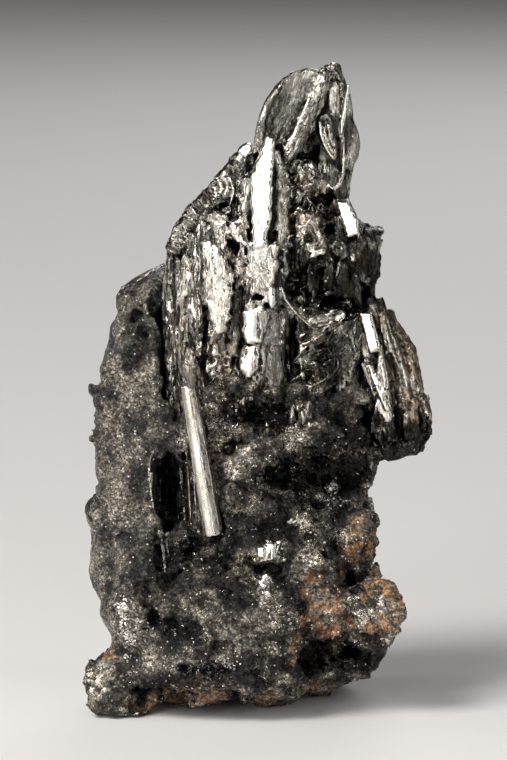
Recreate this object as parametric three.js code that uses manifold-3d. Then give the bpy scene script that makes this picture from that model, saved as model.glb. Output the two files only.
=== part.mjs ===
// A cylindrite specimen: bundles of rough, rolled metallic crystals standing in a grainy matrix.
// Millimetres. X runs across the broad face, Y to the back and Z up. The origin is the centre of
// the bounding box, on the level patches that the specimen stands on.
import * as THREE from "three";
import { mergeVertices } from "three/addons/utils/BufferGeometryUtils.js";
import Module from "manifold-3d";

const wasm = await Module();
wasm.setup();

// Driving dimensions.
const HEIGHT = 64.6; // foot to summit
const CLEARANCE = 0.3; // left between a crystal and the pocket that holds it
const CRYSTAL_SIDES = 13; // facets round a crystal
const CRYSTAL_STEP = 2.6; // spacing of the rings along a crystal
const CRYSTAL_ROUGHNESS = 0.09; // share of its radius that a crystal's skin wanders
const BROKEN_END = 0.35; // rise of a crystal's broken end for each millimetre across it
const MATRIX_SIDES = 36; // facets round the matrix
const MATRIX_ROUGHNESS = 0.05; // share of its half width that the matrix's skin wanders
const LUMP_ROUGHNESS = 0.1; // the same for the lumps on it
const SECTION_POWER = 2.6; // 2 is an ellipse, and more is squarer

const materials = {
  crystal: new THREE.MeshStandardMaterial({ color: 0x77746f, roughness: 0.3, metalness: 1 }),
  polished: new THREE.MeshStandardMaterial({ color: 0xa3a29d, roughness: 0.2, metalness: 1 }),
  matrix: new THREE.MeshStandardMaterial({ color: 0x3b3a38, roughness: 0.6, metalness: 0.5 }),
};

// The matrix as level rings from the foot up: height, middle, half width, half depth, and the
// angle in degrees by which the ring is turned, so that its right end swings to the back.
const MATRIX_RINGS = [
  { z: 0, x: -3.6, y: 4.6, across: 10.6, deep: 4.2, turn: 12 },
  { z: 1.5, x: -4.0, y: 1.4, across: 12.7, deep: 7.9, turn: 20 },
  { z: 4.2, x: -1.7, y: 0.0, across: 13.8, deep: 9.3, turn: 16 },
  { z: 6.6, x: -0.8, y: 0.0, across: 14.1, deep: 9.7, turn: 12 },
  { z: 9.2, x: -1.2, y: 0.1, across: 15.0, deep: 9.8, turn: 9 },
  { z: 11.2, x: -2.1, y: 0.2, across: 14.7, deep: 9.8, turn: 6 },
  { z: 13.4, x: -3.0, y: 0.3, across: 14.0, deep: 9.6, turn: 4 },
  { z: 17.0, x: -2.9, y: 0.6, across: 13.7, deep: 9.2, turn: 3 },
  { z: 20.6, x: -3.1, y: 0.9, across: 13.5, deep: 8.8, turn: 2 },
  { z: 23.8, x: -2.8, y: 1.2, across: 13.9, deep: 8.5, turn: 0 },
  { z: 27.0, x: -2.9, y: 1.5, across: 13.8, deep: 8.3, turn: 0 },
  { z: 30.2, x: -3.2, y: 1.8, across: 13.1, deep: 7.9, turn: 0 },
  { z: 33.4, x: -3.8, y: 2.1, across: 12.2, deep: 7.4, turn: -2 },
  { z: 36.6, x: -4.6, y: 2.4, across: 10.6, deep: 6.7, turn: -3 },
  { z: 39.4, x: -5.8, y: 2.6, across: 8.9, deep: 5.9, turn: -4 },
  { z: 41.6, x: -7.4, y: 2.4, across: 6.2, deep: 4.8, turn: -6 },
  { z: 43.4, x: -7.6, y: 2.0, across: 3.4, deep: 3.4, turn: -8 },
];
// Lumps on the matrix and hollows broken into it: middle and half sizes.
const LUMPS = {
  leftFoot: { at: [-13.3, -5.1, 2.5], half: [3.9, 3.9, 3.7] },
  frontFoot: { at: [0.7, -1.6, 1.6], half: [2.4, 2.6, 2.3] },
  leftKnob: { at: [-16.4, -0.6, 19.4], half: [1.5, 1.8, 2.1] },
  backFoot: { at: [5.6, 5.2, 1.7], half: [3.8, 3.6, 2.8] },
  rightKnuckle: { at: [9.6, -2.2, 8.8], half: [4.6, 5.0, 4.8] },
};
const HOLLOWS = {
  groove: { at: [-8.9, -8.2, 22.8], half: [1.8, 3.4, 5.0] },
  cave: { at: [4.6, -9.4, 20.4], half: [3.6, 3.2, 2.5] },
};

// Crystals as [x, y, z] of foot and tip, and the radius at even steps from the foot to the tip.
const MAIN_CRYSTALS = [
  // the tall middle column and the thick ones on its left and right
  { foot: [-0.2, -4.8, 28.4], tip: [1.1, -3.2, 55.6], radii: [2.6, 3.6, 3.7, 3.3, 2.7, 2.2, 1.5] },
  { foot: [-5.7, -4.2, 30.8], tip: [-5.2, -2.4, 48.6], radii: [2.6, 3.4, 3.7, 3.7, 3.5, 3.0] },
  { foot: [4.2, -4.0, 27.4], tip: [5.0, -2.2, 50.6], radii: [2.8, 3.8, 3.9, 3.7, 3.5, 3.0] },
  { foot: [7.8, -2.4, 28.8], tip: [7.7, -1.0, 50.2], radii: [2.2, 2.9, 3.0, 2.8, 2.2, 1.6] },
  { foot: [-7.5, -4.2, 25.8], tip: [-7.9, -2.0, 44.4], radii: [1.2, 1.7, 1.9, 2.0, 1.7] },
  // the stepped left shoulder
  { foot: [-3.4, -0.4, 40.9], tip: [-1.4, 0.6, 56.0], radii: [2.8, 2.9, 2.6, 1.3] },
  { foot: [-5.4, -0.4, 38.9], tip: [-3.7, 0.2, 52.4], radii: [2.7, 2.7, 2.3, 1.3] },
  { foot: [-6.9, -0.8, 38.6], tip: [-5.4, 0.0, 50.5], radii: [2.4, 2.4, 2.1, 1.4] },
  { foot: [-7.9, -0.8, 37.4], tip: [-7.5, -0.4, 46.8], radii: [1.9, 2.0, 1.9, 1.4] },
  // the summit blades
  { foot: [0.6, 1.6, 44.6], tip: [3.2, 1.2, 62.3], radii: [3.3, 3.3, 3.1, 2.7, 1.3] },
  { foot: [2.8, 0.8, 44.8], tip: [4.9, 0.8, 63.4], radii: [3.3, 3.1, 2.7, 2.2, 1.2] },
  { foot: [6.4, 0.4, 42.8], tip: [7.4, 0.6, HEIGHT], radii: [3.0, 2.7, 2.7, 2.6, 2.3, 1.0] },
  // the horn on the right, and the thick columns at the back
  { foot: [9.2, -0.8, 34.0], tip: [10.5, 0.0, 47.6], radii: [2.0, 2.0, 1.8, 1.6] },
  { foot: [1.6, 3.4, 26.0], tip: [2.5, 2.8, 55.4], radii: [4.4, 5.2, 5.0, 4.4, 3.5, 2.4] },
  { foot: [-4.4, 3.2, 27.1], tip: [-3.2, 3.0, 47.6], radii: [3.2, 3.9, 3.6, 2.4] },
  { foot: [7.0, 3.2, 27.1], tip: [6.4, 2.6, 50.4], radii: [3.0, 3.7, 3.6, 2.3] },
];
const SIDE_CRYSTALS = [
  { foot: [13.2, -3.4, 26.2], tip: [11.0, -3.0, 40.2], radii: [1.5, 1.7, 1.6, 1.4] },
  { foot: [11.2, -3.8, 27.2], tip: [9.7, -3.6, 38.8], radii: [1.2, 1.4, 1.4, 1.1] },
  { foot: [14.4, -0.8, 25.2], tip: [12.6, 0.2, 41.0], radii: [2.3, 3.0, 2.7, 2.2, 1.4] },
  { foot: [12.4, 0.9, 25.2], tip: [11.6, 1.4, 40.4], radii: [1.9, 2.9, 2.8, 1.9] },
  { foot: [15.2, -0.8, 25.4], tip: [14.9, -0.6, 31.2], radii: [1.9, 2.6, 2.1] },
];
const LONE_CRYSTAL = {
  foot: [-4.6, -7.9, 18.6],
  tip: [-7.1, -7.6, 33.6],
  radii: [1.02, 1.02, 1.0, 0.95, 0.85],
};

// A repeatable number from -1 to 1 for whole numbers i and j.
function jitter(seed, i, j) {
  const wave = Math.sin(seed * 12.9898 + i * 78.233 + j * 37.719) * 43758.5453;
  return 2 * (wave - Math.floor(wave)) - 1;
}

// The value at share t, from 0 to 1, of a list of even steps.
function along(list, t) {
  const at = t * (list.length - 1);
  const i = Math.min(Math.floor(at), list.length - 2);
  return THREE.MathUtils.lerp(list[i], list[i + 1], at - i);
}

// A closed tube of the given rings and sides, each point placed by place(ring, side, share),
// where share is 0 on the tube's axis and 1 on its skin.
function ringed(sides, rings, place) {
  const geometry = new THREE.CylinderGeometry(1, 1, rings - 1, sides, rings - 1);
  const position = geometry.getAttribute("position");
  for (let k = 0; k < position.count; k++) {
    const p = new THREE.Vector3().fromBufferAttribute(position, k);
    const ring = Math.round(p.y + (rings - 1) / 2);
    const side = Math.round((Math.atan2(-p.z, p.x) / (2 * Math.PI)) * sides + sides) % sides;
    const placed = place(ring, side, Math.min(1, Math.hypot(p.x, p.z)));
    position.setXYZ(k, placed.x, placed.y, placed.z);
  }
  return geometry;
}

// A geometry as a solid that can be joined and cut.
function solidOf(geometry) {
  const bare = geometry.clone().deleteAttribute("normal").deleteAttribute("uv");
  const merged = mergeVertices(bare, 1e-4);
  const vertProperties = new Float32Array(merged.getAttribute("position").array);
  const triVerts = new Uint32Array(merged.index.array);
  return new wasm.Manifold(new wasm.Mesh({ numProp: 3, vertProperties, triVerts }));
}

function geometryOf(solid) {
  const mesh = solid.getMesh();
  return new THREE.BufferGeometry()
    .setAttribute("position", new THREE.BufferAttribute(mesh.vertProperties, 3))
    .setIndex(new THREE.BufferAttribute(mesh.triVerts, 1));
}

// A rough rolled crystal, with its skin and ends moved out by grow. Its ends are broken askew.
function crystal({ foot, tip, radii }, seed, grow = 0) {
  const from = new THREE.Vector3(...foot);
  const axis = new THREE.Vector3(...tip).sub(from);
  const length = axis.length();
  axis.normalize();
  const turn = new THREE.Quaternion().setFromUnitVectors(new THREE.Vector3(0, 0, 1), axis);
  const rings = Math.max(3, Math.round(length / CRYSTAL_STEP));
  const geometry = ringed(CRYSTAL_SIDES, rings, (ring, side, share) => {
    const t = ring / (rings - 1);
    const angle = (side / CRYSTAL_SIDES) * 2 * Math.PI;
    const rough = 1 + CRYSTAL_ROUGHNESS * (jitter(seed, side, ring) + jitter(seed + 7, side, 0));
    const radius = (along(radii, t) * rough + grow) * share;
    const askew = BROKEN_END * jitter(seed, 3, 5) * radius * Math.cos(angle) * t * t;
    const height = THREE.MathUtils.lerp(-grow, length + grow, t) + askew;
    return new THREE.Vector3(radius * Math.cos(angle), radius * Math.sin(angle), height)
      .applyQuaternion(turn)
      .add(from);
  });
  return solidOf(geometry);
}

function joined(solids) {
  return solids.reduce((whole, one) => whole.add(one));
}

function bundle(crystals, seed, grow = 0) {
  return joined(crystals.map((one, k) => crystal(one, seed + k, grow)));
}

// The rock's body: rounded rings turned about their own middles.
function matrixBody() {
  const square = (value) => Math.sign(value) * Math.abs(value) ** (2 / SECTION_POWER);
  const geometry = ringed(MATRIX_SIDES, MATRIX_RINGS.length, (k, side, share) => {
    const ring = MATRIX_RINGS[k];
    const angle = (side / MATRIX_SIDES) * 2 * Math.PI;
    const rough = 1 + MATRIX_ROUGHNESS * jitter(3, side, k);
    const x = ring.across * square(Math.cos(angle)) * rough * share;
    const y = ring.deep * square(Math.sin(angle)) * rough * share;
    const turn = THREE.MathUtils.degToRad(ring.turn);
    return new THREE.Vector3(
      ring.x + x * Math.cos(turn) - y * Math.sin(turn),
      ring.y + x * Math.sin(turn) + y * Math.cos(turn),
      ring.z,
    );
  });
  return solidOf(geometry);
}

// A rough ball, stretched to its half sizes.
function lump({ at, half }, seed) {
  const geometry = mergeVertices(
    new THREE.IcosahedronGeometry(1, 2).deleteAttribute("normal").deleteAttribute("uv"),
    1e-4,
  );
  const position = geometry.getAttribute("position");
  for (let k = 0; k < position.count; k++) {
    const rough = 1 + LUMP_ROUGHNESS * jitter(seed, k, 1);
    const p = new THREE.Vector3().fromBufferAttribute(position, k).multiplyScalar(rough);
    position.setXYZ(k, p.x, p.y, p.z);
  }
  return solidOf(geometry.scale(...half).translate(...at));
}

// Everything below the level that the specimen stands on.
function underground() {
  const reach = 2 * HEIGHT;
  return solidOf(new THREE.BoxGeometry(reach, reach, reach).translate(0, 0, -reach / 2));
}

// The largest outer skin of a solid, without sealed cavities or crumbs that a cut left loose.
function onePiece(solid) {
  return solid.decompose().reduce((best, body) => (body.volume() > best.volume() ? body : best));
}

function named(name, solid, material) {
  const mesh = new THREE.Mesh(geometryOf(onePiece(solid)), material);
  mesh.name = name;
  return mesh;
}

const SEEDS = { main: 11, side: 41, lone: 71, lumps: 91 };
const mainPocket = bundle(MAIN_CRYSTALS, SEEDS.main, CLEARANCE);
const sidePocket = bundle(SIDE_CRYSTALS, SEEDS.side, CLEARANCE);
const lonePocket = crystal(LONE_CRYSTAL, SEEDS.lone, CLEARANCE);
const main = bundle(MAIN_CRYSTALS, SEEDS.main).subtract(lonePocket);
const side = bundle(SIDE_CRYSTALS, SEEDS.side).subtract(mainPocket);
const lumps = Object.values(LUMPS).map((one, k) => lump(one, SEEDS.lumps + k));
const cuts = Object.values(HOLLOWS).map((one, k) => lump(one, SEEDS.lumps + 20 + k));
const matrix = [...cuts, mainPocket, sidePocket, lonePocket, underground()].reduce(
  (rock, cut) => rock.subtract(cut),
  joined([matrixBody(), ...lumps]),
);

const specimen = new THREE.Group();
specimen.add(
  named("matrix", matrix, materials.matrix),
  named("main_crystal_bundle", main, materials.crystal),
  named("side_crystal_bundle", side, materials.crystal),
  named("lone_crystal", crystal(LONE_CRYSTAL, SEEDS.lone), materials.polished),
);

// Bring the middle of the bounding box over the origin.
const middle = new THREE.Box3().setFromObject(specimen).getCenter(new THREE.Vector3());
specimen.position.set(-middle.x, -middle.y, 0);

export default specimen;
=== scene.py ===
"""A cylindrite specimen: bundles of rolled metallic crystals standing in a dark, grainy matrix.

Every shape is sculpted in blocks of voxels that hold distances in millimetres, then meshed with
quads and finished with small relief on the mesh itself. X runs across the broad front, Y to the
back and Z up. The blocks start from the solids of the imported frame, so each piece stays in place.
"""

import copy
import math

import bpy
import numpy as np
import openvdb
from bpy.props import FloatProperty, FloatVectorProperty, PointerProperty
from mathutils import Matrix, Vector


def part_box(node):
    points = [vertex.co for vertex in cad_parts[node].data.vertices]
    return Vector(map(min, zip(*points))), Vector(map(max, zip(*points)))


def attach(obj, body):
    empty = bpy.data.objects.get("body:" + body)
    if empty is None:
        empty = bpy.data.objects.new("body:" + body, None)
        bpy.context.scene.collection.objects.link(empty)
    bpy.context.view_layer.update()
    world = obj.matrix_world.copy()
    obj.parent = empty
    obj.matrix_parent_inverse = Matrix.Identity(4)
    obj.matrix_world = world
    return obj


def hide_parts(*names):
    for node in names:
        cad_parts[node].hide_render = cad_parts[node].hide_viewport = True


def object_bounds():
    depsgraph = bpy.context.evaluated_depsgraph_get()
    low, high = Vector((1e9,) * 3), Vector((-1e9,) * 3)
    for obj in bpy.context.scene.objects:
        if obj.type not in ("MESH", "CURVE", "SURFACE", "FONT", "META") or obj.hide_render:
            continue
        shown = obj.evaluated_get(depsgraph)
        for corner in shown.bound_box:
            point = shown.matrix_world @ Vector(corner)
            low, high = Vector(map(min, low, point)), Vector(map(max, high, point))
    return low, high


bl_info = {
    "name": "Cylindrite specimen",
    "version": (1, 0, 0),
    "blender": (4, 5, 0),
    "location": "3D View > Sidebar > Specimen",
    "description": "Builds a cylindrite specimen on its packed frame",
    "category": "Add Mesh",
}

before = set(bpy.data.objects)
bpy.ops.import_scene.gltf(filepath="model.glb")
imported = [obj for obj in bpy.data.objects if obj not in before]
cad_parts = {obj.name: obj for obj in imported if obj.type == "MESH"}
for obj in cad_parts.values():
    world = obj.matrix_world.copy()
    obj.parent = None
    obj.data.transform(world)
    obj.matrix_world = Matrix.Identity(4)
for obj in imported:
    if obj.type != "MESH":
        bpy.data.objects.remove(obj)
CAD_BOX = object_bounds()

MM = 0.001  # metres in a millimetre
BAND = 1.6  # how far from a surface, in millimetres, a block keeps true distances
FAR_AWAY = 1e9  # a distance that any other is less than


# ------------------------ random relief
LATTICE = 64  # points along each side of a block of random numbers, a power of 2
_lattices = {}


def lattice(seed):
    """A block of random numbers from -1 to 1 that repeats in every direction."""
    if seed not in _lattices:
        rng = np.random.default_rng(seed)
        _lattices[seed] = rng.uniform(-1, 1, LATTICE**3).astype(np.float32)
    return _lattices[seed]


def noise(x, y, z, cell, seed):
    """Smooth noise from -1 to 1. cell is its grain in millimetres, one number or three."""
    cell = np.broadcast_to(np.asarray(cell, np.float32), 3)
    table = lattice(seed)
    corners, shares = [], []
    for value, size in zip((x, y, z), cell):
        scaled = np.asarray(value, np.float32) / size
        low = np.floor(scaled)
        share = scaled - low
        corners.append(low.astype(np.int32))
        shares.append(share * share * (3 - 2 * share))
    wrap = LATTICE - 1
    total = 0
    for i in (0, 1):
        wx = shares[0] if i else 1 - shares[0]
        ax = ((corners[0] + i) & wrap) * LATTICE * LATTICE
        for j in (0, 1):
            wy = shares[1] if j else 1 - shares[1]
            ay = ((corners[1] + j) & wrap) * LATTICE
            for k in (0, 1):
                wz = shares[2] if k else 1 - shares[2]
                az = (corners[2] + k) & wrap
                total = total + table[ax + ay + az] * (wx * wy * wz)
    return total


def fractal(x, y, z, cell, seed, octaves=3, fade=0.5):
    """Noise with finer and fainter noise on top."""
    cell = np.asarray(cell, np.float32)
    total, weight = 0, 1.0
    for k in range(octaves):
        total = total + weight * noise(x, y, z, cell / 2**k, seed + k)
        weight *= fade
    return total


def grains(x, y, z, size, seed):
    """Flat-faced cells: for each point the rise of its cell's tilted face and its cell's depth."""
    size = np.broadcast_to(np.asarray(size, np.float32), 3)
    p = np.stack([x, y, z], -1).astype(np.float32) / size
    base = np.floor(p).astype(np.int32)
    best = np.full(p.shape[:-1], 9.0, np.float32)
    slope = np.zeros_like(best)
    depth = np.zeros_like(best)
    wrap = LATTICE - 1
    tables = [lattice(seed + k) for k in range(7)]
    for offset in np.ndindex(3, 3, 3):
        cell = base + np.array(offset) - 1
        i, j, k = (cell[..., n] & wrap for n in range(3))
        key = (i * LATTICE + j) * LATTICE + k
        middle = np.stack([0.5 + 0.5 * tables[n][key] for n in range(3)], -1)
        away = p - cell - middle
        far = (away**2).sum(-1)
        face = np.stack([tables[n][key] for n in range(3, 6)], -1)
        nearer = far < best
        best = np.where(nearer, far, best)
        slope = np.where(nearer, (away * face).sum(-1), slope)
        depth = np.where(nearer, tables[6][key], depth)
    return slope * size.min(), depth


def ramp(value, low, high):
    """0 below low, 1 above high, and smooth between them. With low above high it falls."""
    share = np.clip((value - low) / (high - low), 0, 1)
    return share * share * (3 - 2 * share)


# ------------------------ voxel blocks
class Block:
    """A block of voxels with the distance to a surface in millimetres, negative inside."""

    def __init__(self, low, high, voxel):
        self.voxel = voxel
        self.first = np.floor(low / voxel).astype(int)
        last = np.ceil(high / voxel).astype(int)
        self.distance = np.full(last - self.first + 1, BAND, np.float32)

    def window(self, low, high):
        """The part of the block in a box, and the coordinates of its voxels, ready to broadcast."""
        start = np.floor(low / self.voxel).astype(int) - self.first
        stop = np.ceil(high / self.voxel).astype(int) - self.first + 1
        start, stop = (np.clip(end, 0, self.distance.shape) for end in (start, stop))
        part = tuple(slice(a, b) for a, b in zip(start, stop))
        lines = [
            ((np.arange(a, b) + f) * self.voxel).astype(np.float32)
            for a, b, f in zip(start, stop, self.first)
        ]
        return part, np.ix_(*lines)

    def everywhere(self):
        """The window of the whole block."""
        low = self.first * self.voxel
        high = (self.first + np.array(self.distance.shape) - 1) * self.voxel
        return self.window(low, high)

    def add(self, low, high, shape, blend=0.0):
        """Joins a shape to the block. shape(x, y, z) gives its distances."""
        part, places = self.window(low, high)
        if self.distance[part].size:
            self.distance[part] = smooth_min(self.distance[part], shape(*places), blend)

    def join(self, shapes):
        """Joins rods, plates or strands to the block."""
        for shape in shapes:
            self.add(*shape.box(), shape.distances)

    def cut(self, low, high, shape, blend=0.0):
        """Takes a shape out of the block."""
        part, places = self.window(low, high)
        if self.distance[part].size:
            self.distance[part] = -smooth_min(-self.distance[part], shape(*places), blend)

    def wear(self, amount):
        """Moves the surface in by amount(x, y, z) millimetres, near the surface only."""
        _, places = self.everywhere()
        near = np.nonzero(np.abs(self.distance) < BAND * 0.9)
        x, y, z = (line.ravel()[k] for line, k in zip(places, near))
        self.distance[near] += amount(x, y, z)

    def soften(self, times):
        """Rounds everything off by about a voxel each time."""
        for _ in range(times):
            for axis in range(3):
                edges = [(1, 1) if k == axis else (0, 0) for k in range(3)]
                padded = np.pad(self.distance, edges, "edge")
                left = np.take(padded, range(0, self.distance.shape[axis]), axis)
                right = np.take(padded, range(2, self.distance.shape[axis] + 2), axis)
                self.distance = (left + right + 2 * self.distance) / 4

    def sample(self, x, y, z):
        """The distances at some points, from the nearest voxels."""
        nearest = [
            np.clip(np.rint(v / self.voxel).astype(int) - f, 0, n - 1)
            for v, f, n in zip((x, y, z), self.first, self.distance.shape)
        ]
        return self.distance[tuple(nearest)]

    def share_within(self, radius):
        """The share of solid within radius of each voxel: over a half in a hollow, less on an edge."""
        share = (self.distance < 0).astype(np.float32)
        reach = max(1, round(radius / self.voxel))
        for axis in range(3):
            edges = [(reach + 1, reach) if k == axis else (0, 0) for k in range(3)]
            total = np.cumsum(np.pad(share, edges), axis)
            count = share.shape[axis]
            high = np.take(total, range(2 * reach + 1, 2 * reach + 1 + count), axis)
            low = np.take(total, range(0, count), axis)
            share = (high - low) / (2 * reach + 1)
        return share

    def crowding(self, *radii):
        """A block that holds shares of solid in place of distances, the mean for the radii."""
        twin = copy.copy(self)
        twin.distance = sum(self.share_within(radius) for radius in radii) / len(radii)
        return twin

    def skin(self):
        """The surface as points in millimetres and four-sided faces."""
        grid = openvdb.FloatGrid(BAND)
        grid.copyFromArray(self.distance, ijk=tuple(int(i) for i in self.first))
        points, quads = grid.convertToQuads(0.0)
        return points.astype(np.float64) * self.voxel, quads.astype(np.int64)


def smooth_min(a, b, blend):
    """The lesser of two distances, with the corner between them filled over blend millimetres."""
    lesser = np.minimum(a, b)
    if not blend:
        return lesser
    overlap = np.clip(1 - np.abs(a - b) / blend, 0, 1)
    return lesser - overlap * overlap * blend / 4


def solid_of(node, block):
    """The distances of a frame node's solid, on the voxels of a block."""
    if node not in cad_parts:
        raise RuntimeError(f"the frame has no node called {node}")
    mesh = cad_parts[node].data
    mesh.calc_loop_triangles()
    points = np.empty(len(mesh.vertices) * 3, np.float32)
    mesh.vertices.foreach_get("co", points)
    triangles = np.empty(len(mesh.loop_triangles) * 3, np.int32)
    mesh.loop_triangles.foreach_get("vertices", triangles)
    grid = openvdb.FloatGrid.createLevelSetFromPolygons(
        points.reshape(-1, 3).astype(np.float64) / MM,
        triangles=triangles.reshape(-1, 3).astype(np.uint32),
        transform=openvdb.createLinearTransform(voxelSize=block.voxel),
        halfWidth=BAND / block.voxel,
    )
    distances = np.empty(block.distance.shape, np.float32)
    grid.copyToArray(distances, ijk=tuple(int(i) for i in block.first))
    return distances


def ball(middle, half, rough, seed, cell):
    """A stretched ball with a rough skin, as low and high corners and its distances."""
    middle = np.asarray(middle, np.float32)
    half = np.broadcast_to(np.asarray(half, np.float32), 3)
    reach = half + rough + 0.5

    def distances(x, y, z):
        u, v, w = ((p - m) / h for p, m, h in zip((x, y, z), middle, half))
        far = np.sqrt(u * u + v * v + w * w)
        return (far - 1) * half.min() + rough * fractal(*np.broadcast_arrays(x, y, z), cell, seed)

    return middle - reach, middle + reach, distances


# ------------------------ rolled crystals
# Rods, plates and strands all have distances to their surface, the low and high corners of their
# box, a polish from 0 to 1, and roll_at, places on them drawn out the way their streaks run.
class Rod:
    """A rolled crystal from foot to tip, with radii at even steps between them.

    relief sets how rough its skin is, and sides, if it isn't 0, how many flat faces run along
    it. shells is how far its rolled sheets end above each other, lean how far its end slants,
    and cracks are (place, width, depth) of the gaps round it."""

    AROUND = 192  # directions round the axis that its skin has a radius for
    STEP = 0.14  # millimetres between the heights that it has one for
    SHEET = 0.28  # thickness of one rolled sheet in millimetres
    GROOVE = 1.25  # radius of the groove that is cut round it where it lies in ore
    LIT_FACE = math.radians(-76)  # the face that turns a little to the left of the front

    def __init__(self, foot, tip, radii, seed, relief=1.0, sides=0, polish=0.0, shells=0.35,
                 lean=0.3, cracks=()):
        self.foot, self.tip = np.array((foot, tip), float)
        axis = self.tip - self.foot
        self.length = float(np.linalg.norm(axis))
        self.axis = axis / self.length
        side = np.cross(self.axis, (0, 1, 0))
        self.side = side / np.linalg.norm(side)
        self.back = np.cross(self.side, self.axis)
        self.seed = seed
        self.polish = polish
        self.widest = max(radii)
        steps = max(4, int(self.length / self.STEP))
        angle = np.linspace(0, 2 * math.pi, self.AROUND, endpoint=False)[:, None]
        along = np.linspace(0, self.length, steps)[None, :]
        shares = np.linspace(0, self.length, len(radii))
        radius = np.interp(along.ravel(), shares, radii)[None, :]
        x = np.cos(angle) * radius
        y = np.sin(angle) * radius
        x, y, z = np.broadcast_arrays(x, y, along)
        skin = radius * (1 + 0.12 * relief * noise(x, y, z, (2.2, 2.2, 9), seed))
        for size, slope, step, long in ((1.7, 0.4, 0.3, 6), (0.6, 0.3, 0.09, 7)):
            lean_in, deep = grains(x, y, z, (size, size, long * size), seed + 10)
            skin = skin + relief * (slope * lean_in + step * deep - step)
        skin = skin + relief * 0.03 * noise(x, y, z, (0.28, 0.28, 6.0), seed + 22)
        if sides:
            wedge = 2 * math.pi / sides
            off_face = (angle - self.LIT_FACE + wedge / 2) % wedge - wedge / 2
            skin = skin * math.cos(wedge / 2) ** 0.6 / np.cos(off_face)
        for place, width, depth in cracks:
            wander = 0.25 * noise(x, y, z, 1.1, seed + 30)
            gap = np.abs(z - place - wander)
            skin = skin - depth * (1 - ramp(gap, width * 0.5, width))
        self.table = skin.astype(np.float32)
        rng = np.random.default_rng(seed + 40)
        rings = int(self.widest / self.SHEET) + 4
        self.shell_rise = shells * rng.uniform(-1, 0.3, rings).astype(np.float32)
        self.slope = lean * rng.uniform(-1, 1, 2)

    def local(self, x, y, z):
        """How far points lie along the rod, and to the left and to the back of its axis."""
        parts = (x - self.foot[0], y - self.foot[1], z - self.foot[2])
        ways = (self.axis, self.side, self.back)
        return (sum(p * float(c) for p, c in zip(parts, way)) for way in ways)

    def distances(self, x, y, z):
        height, u, v = self.local(x, y, z)
        out = np.sqrt(u * u + v * v)
        row = np.arctan2(v, u) / (2 * math.pi) * self.AROUND
        low = np.floor(row)
        share = row - low
        i = low.astype(np.int32) % self.AROUND
        j = (i + 1) % self.AROUND
        steps = self.table.shape[1]
        column = np.clip(height / self.length * (steps - 1), 0, steps - 1)
        k = np.rint(column).astype(np.int32)
        radius = self.table[i, k] * (1 - share) + self.table[j, k] * share
        ring = np.clip((out / self.SHEET).astype(np.int32), 0, len(self.shell_rise) - 1)
        top = self.length + self.shell_rise[ring] + self.slope[0] * u + self.slope[1] * v
        foot = 0.4 * (self.slope[1] * u - self.slope[0] * v)
        return np.maximum(np.maximum(out - radius, (height - top) * 0.8), foot - height)

    def channel(self, x, y, z):
        """A groove round the rod that is open to the front."""
        height, u, v = self.local(x, y, z)
        off = np.hypot(u, np.maximum(v, 0))
        return np.maximum(off - self.GROOVE, np.maximum(-height - 0.3, height - self.length - 1.0))

    def box(self):
        reach = self.widest * 1.3 + 0.6
        return np.minimum(self.foot, self.tip) - reach, np.maximum(self.foot, self.tip) + reach

    def roll_at(self, x, y, z):
        height, u, v = self.local(x, y, z)
        return np.stack([u + self.seed * 0.17, v, height], -1)


# ------------------------ plates and strands
VIEW_TILT = math.radians(10)  # the front is laid out as it looks from this much above
FRONT_DATUM = 1.63  # brings the lowest point of the front to height 0 on that layout
SIGHT_LINE = np.arange(-12, 10, 0.1)  # the depths, front to back, where the front is looked for


def lifted(y, v):
    """The height of a point that lies y back and is seen at height v on the front."""
    return (v - FRONT_DATUM - math.sin(VIEW_TILT) * y) / math.cos(VIEW_TILT)


def seen_height(y, z):
    """The height at which the front shows a point: the reverse of lifted."""
    return math.cos(VIEW_TILT) * z + math.sin(VIEW_TILT) * y + FRONT_DATUM


def stands(block, x, v):
    """Whether the front shows anything solid at x across and v up."""
    y = SIGHT_LINE
    return bool((block.sample(np.full_like(y, x), y, lifted(y, v)) < 0).any())


def on_front(block, x, v, sink=0.0):
    """The point of the front surface that is seen at x across and v up, moved in by sink.

    Where nothing stands just there, it is the depth a little to the side."""
    y = SIGHT_LINE
    z = lifted(y, v)
    for aside in (0, 0.4, -0.4, 0.8, -0.8, 1.2, -1.2):
        solid = np.nonzero(block.sample(np.full_like(y, x + aside), y, z) < 0)[0]
        if len(solid):
            first = y[solid[0]] + sink
            return np.array([x, first, lifted(first, v)])
    raise RuntimeError(f"nothing stands at {x}, {v} on the front")


def rounded_off(outline, times):
    """Cuts the corners off a closed outline."""
    for _ in range(times):
        following = np.roll(outline, -1, 0)
        outline = np.stack([0.75 * outline + 0.25 * following, 0.25 * outline + 0.75 * following], 1)
        outline = outline.reshape(-1, 2)
    return outline


def outside_outline(outline, x, z):
    """How far points lie outside a closed outline, negative inside it."""
    far = FAR_AWAY
    inside = False
    for (ax, az), (bx, bz) in zip(outline, np.roll(outline, -1, 0)):
        ex, ez = bx - ax, bz - az
        px, pz = x - ax, z - az
        share = np.clip((px * ex + pz * ez) / (ex * ex + ez * ez), 0, 1)
        far = np.minimum(far, np.hypot(px - share * ex, pz - share * ez))
        beyond = px * ez < pz * ex if ez > 0 else px * ez > pz * ex
        inside = inside ^ (((az > z) != (bz > z)) & beyond)
    return np.where(inside, -far, far).astype(np.float32)


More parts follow.
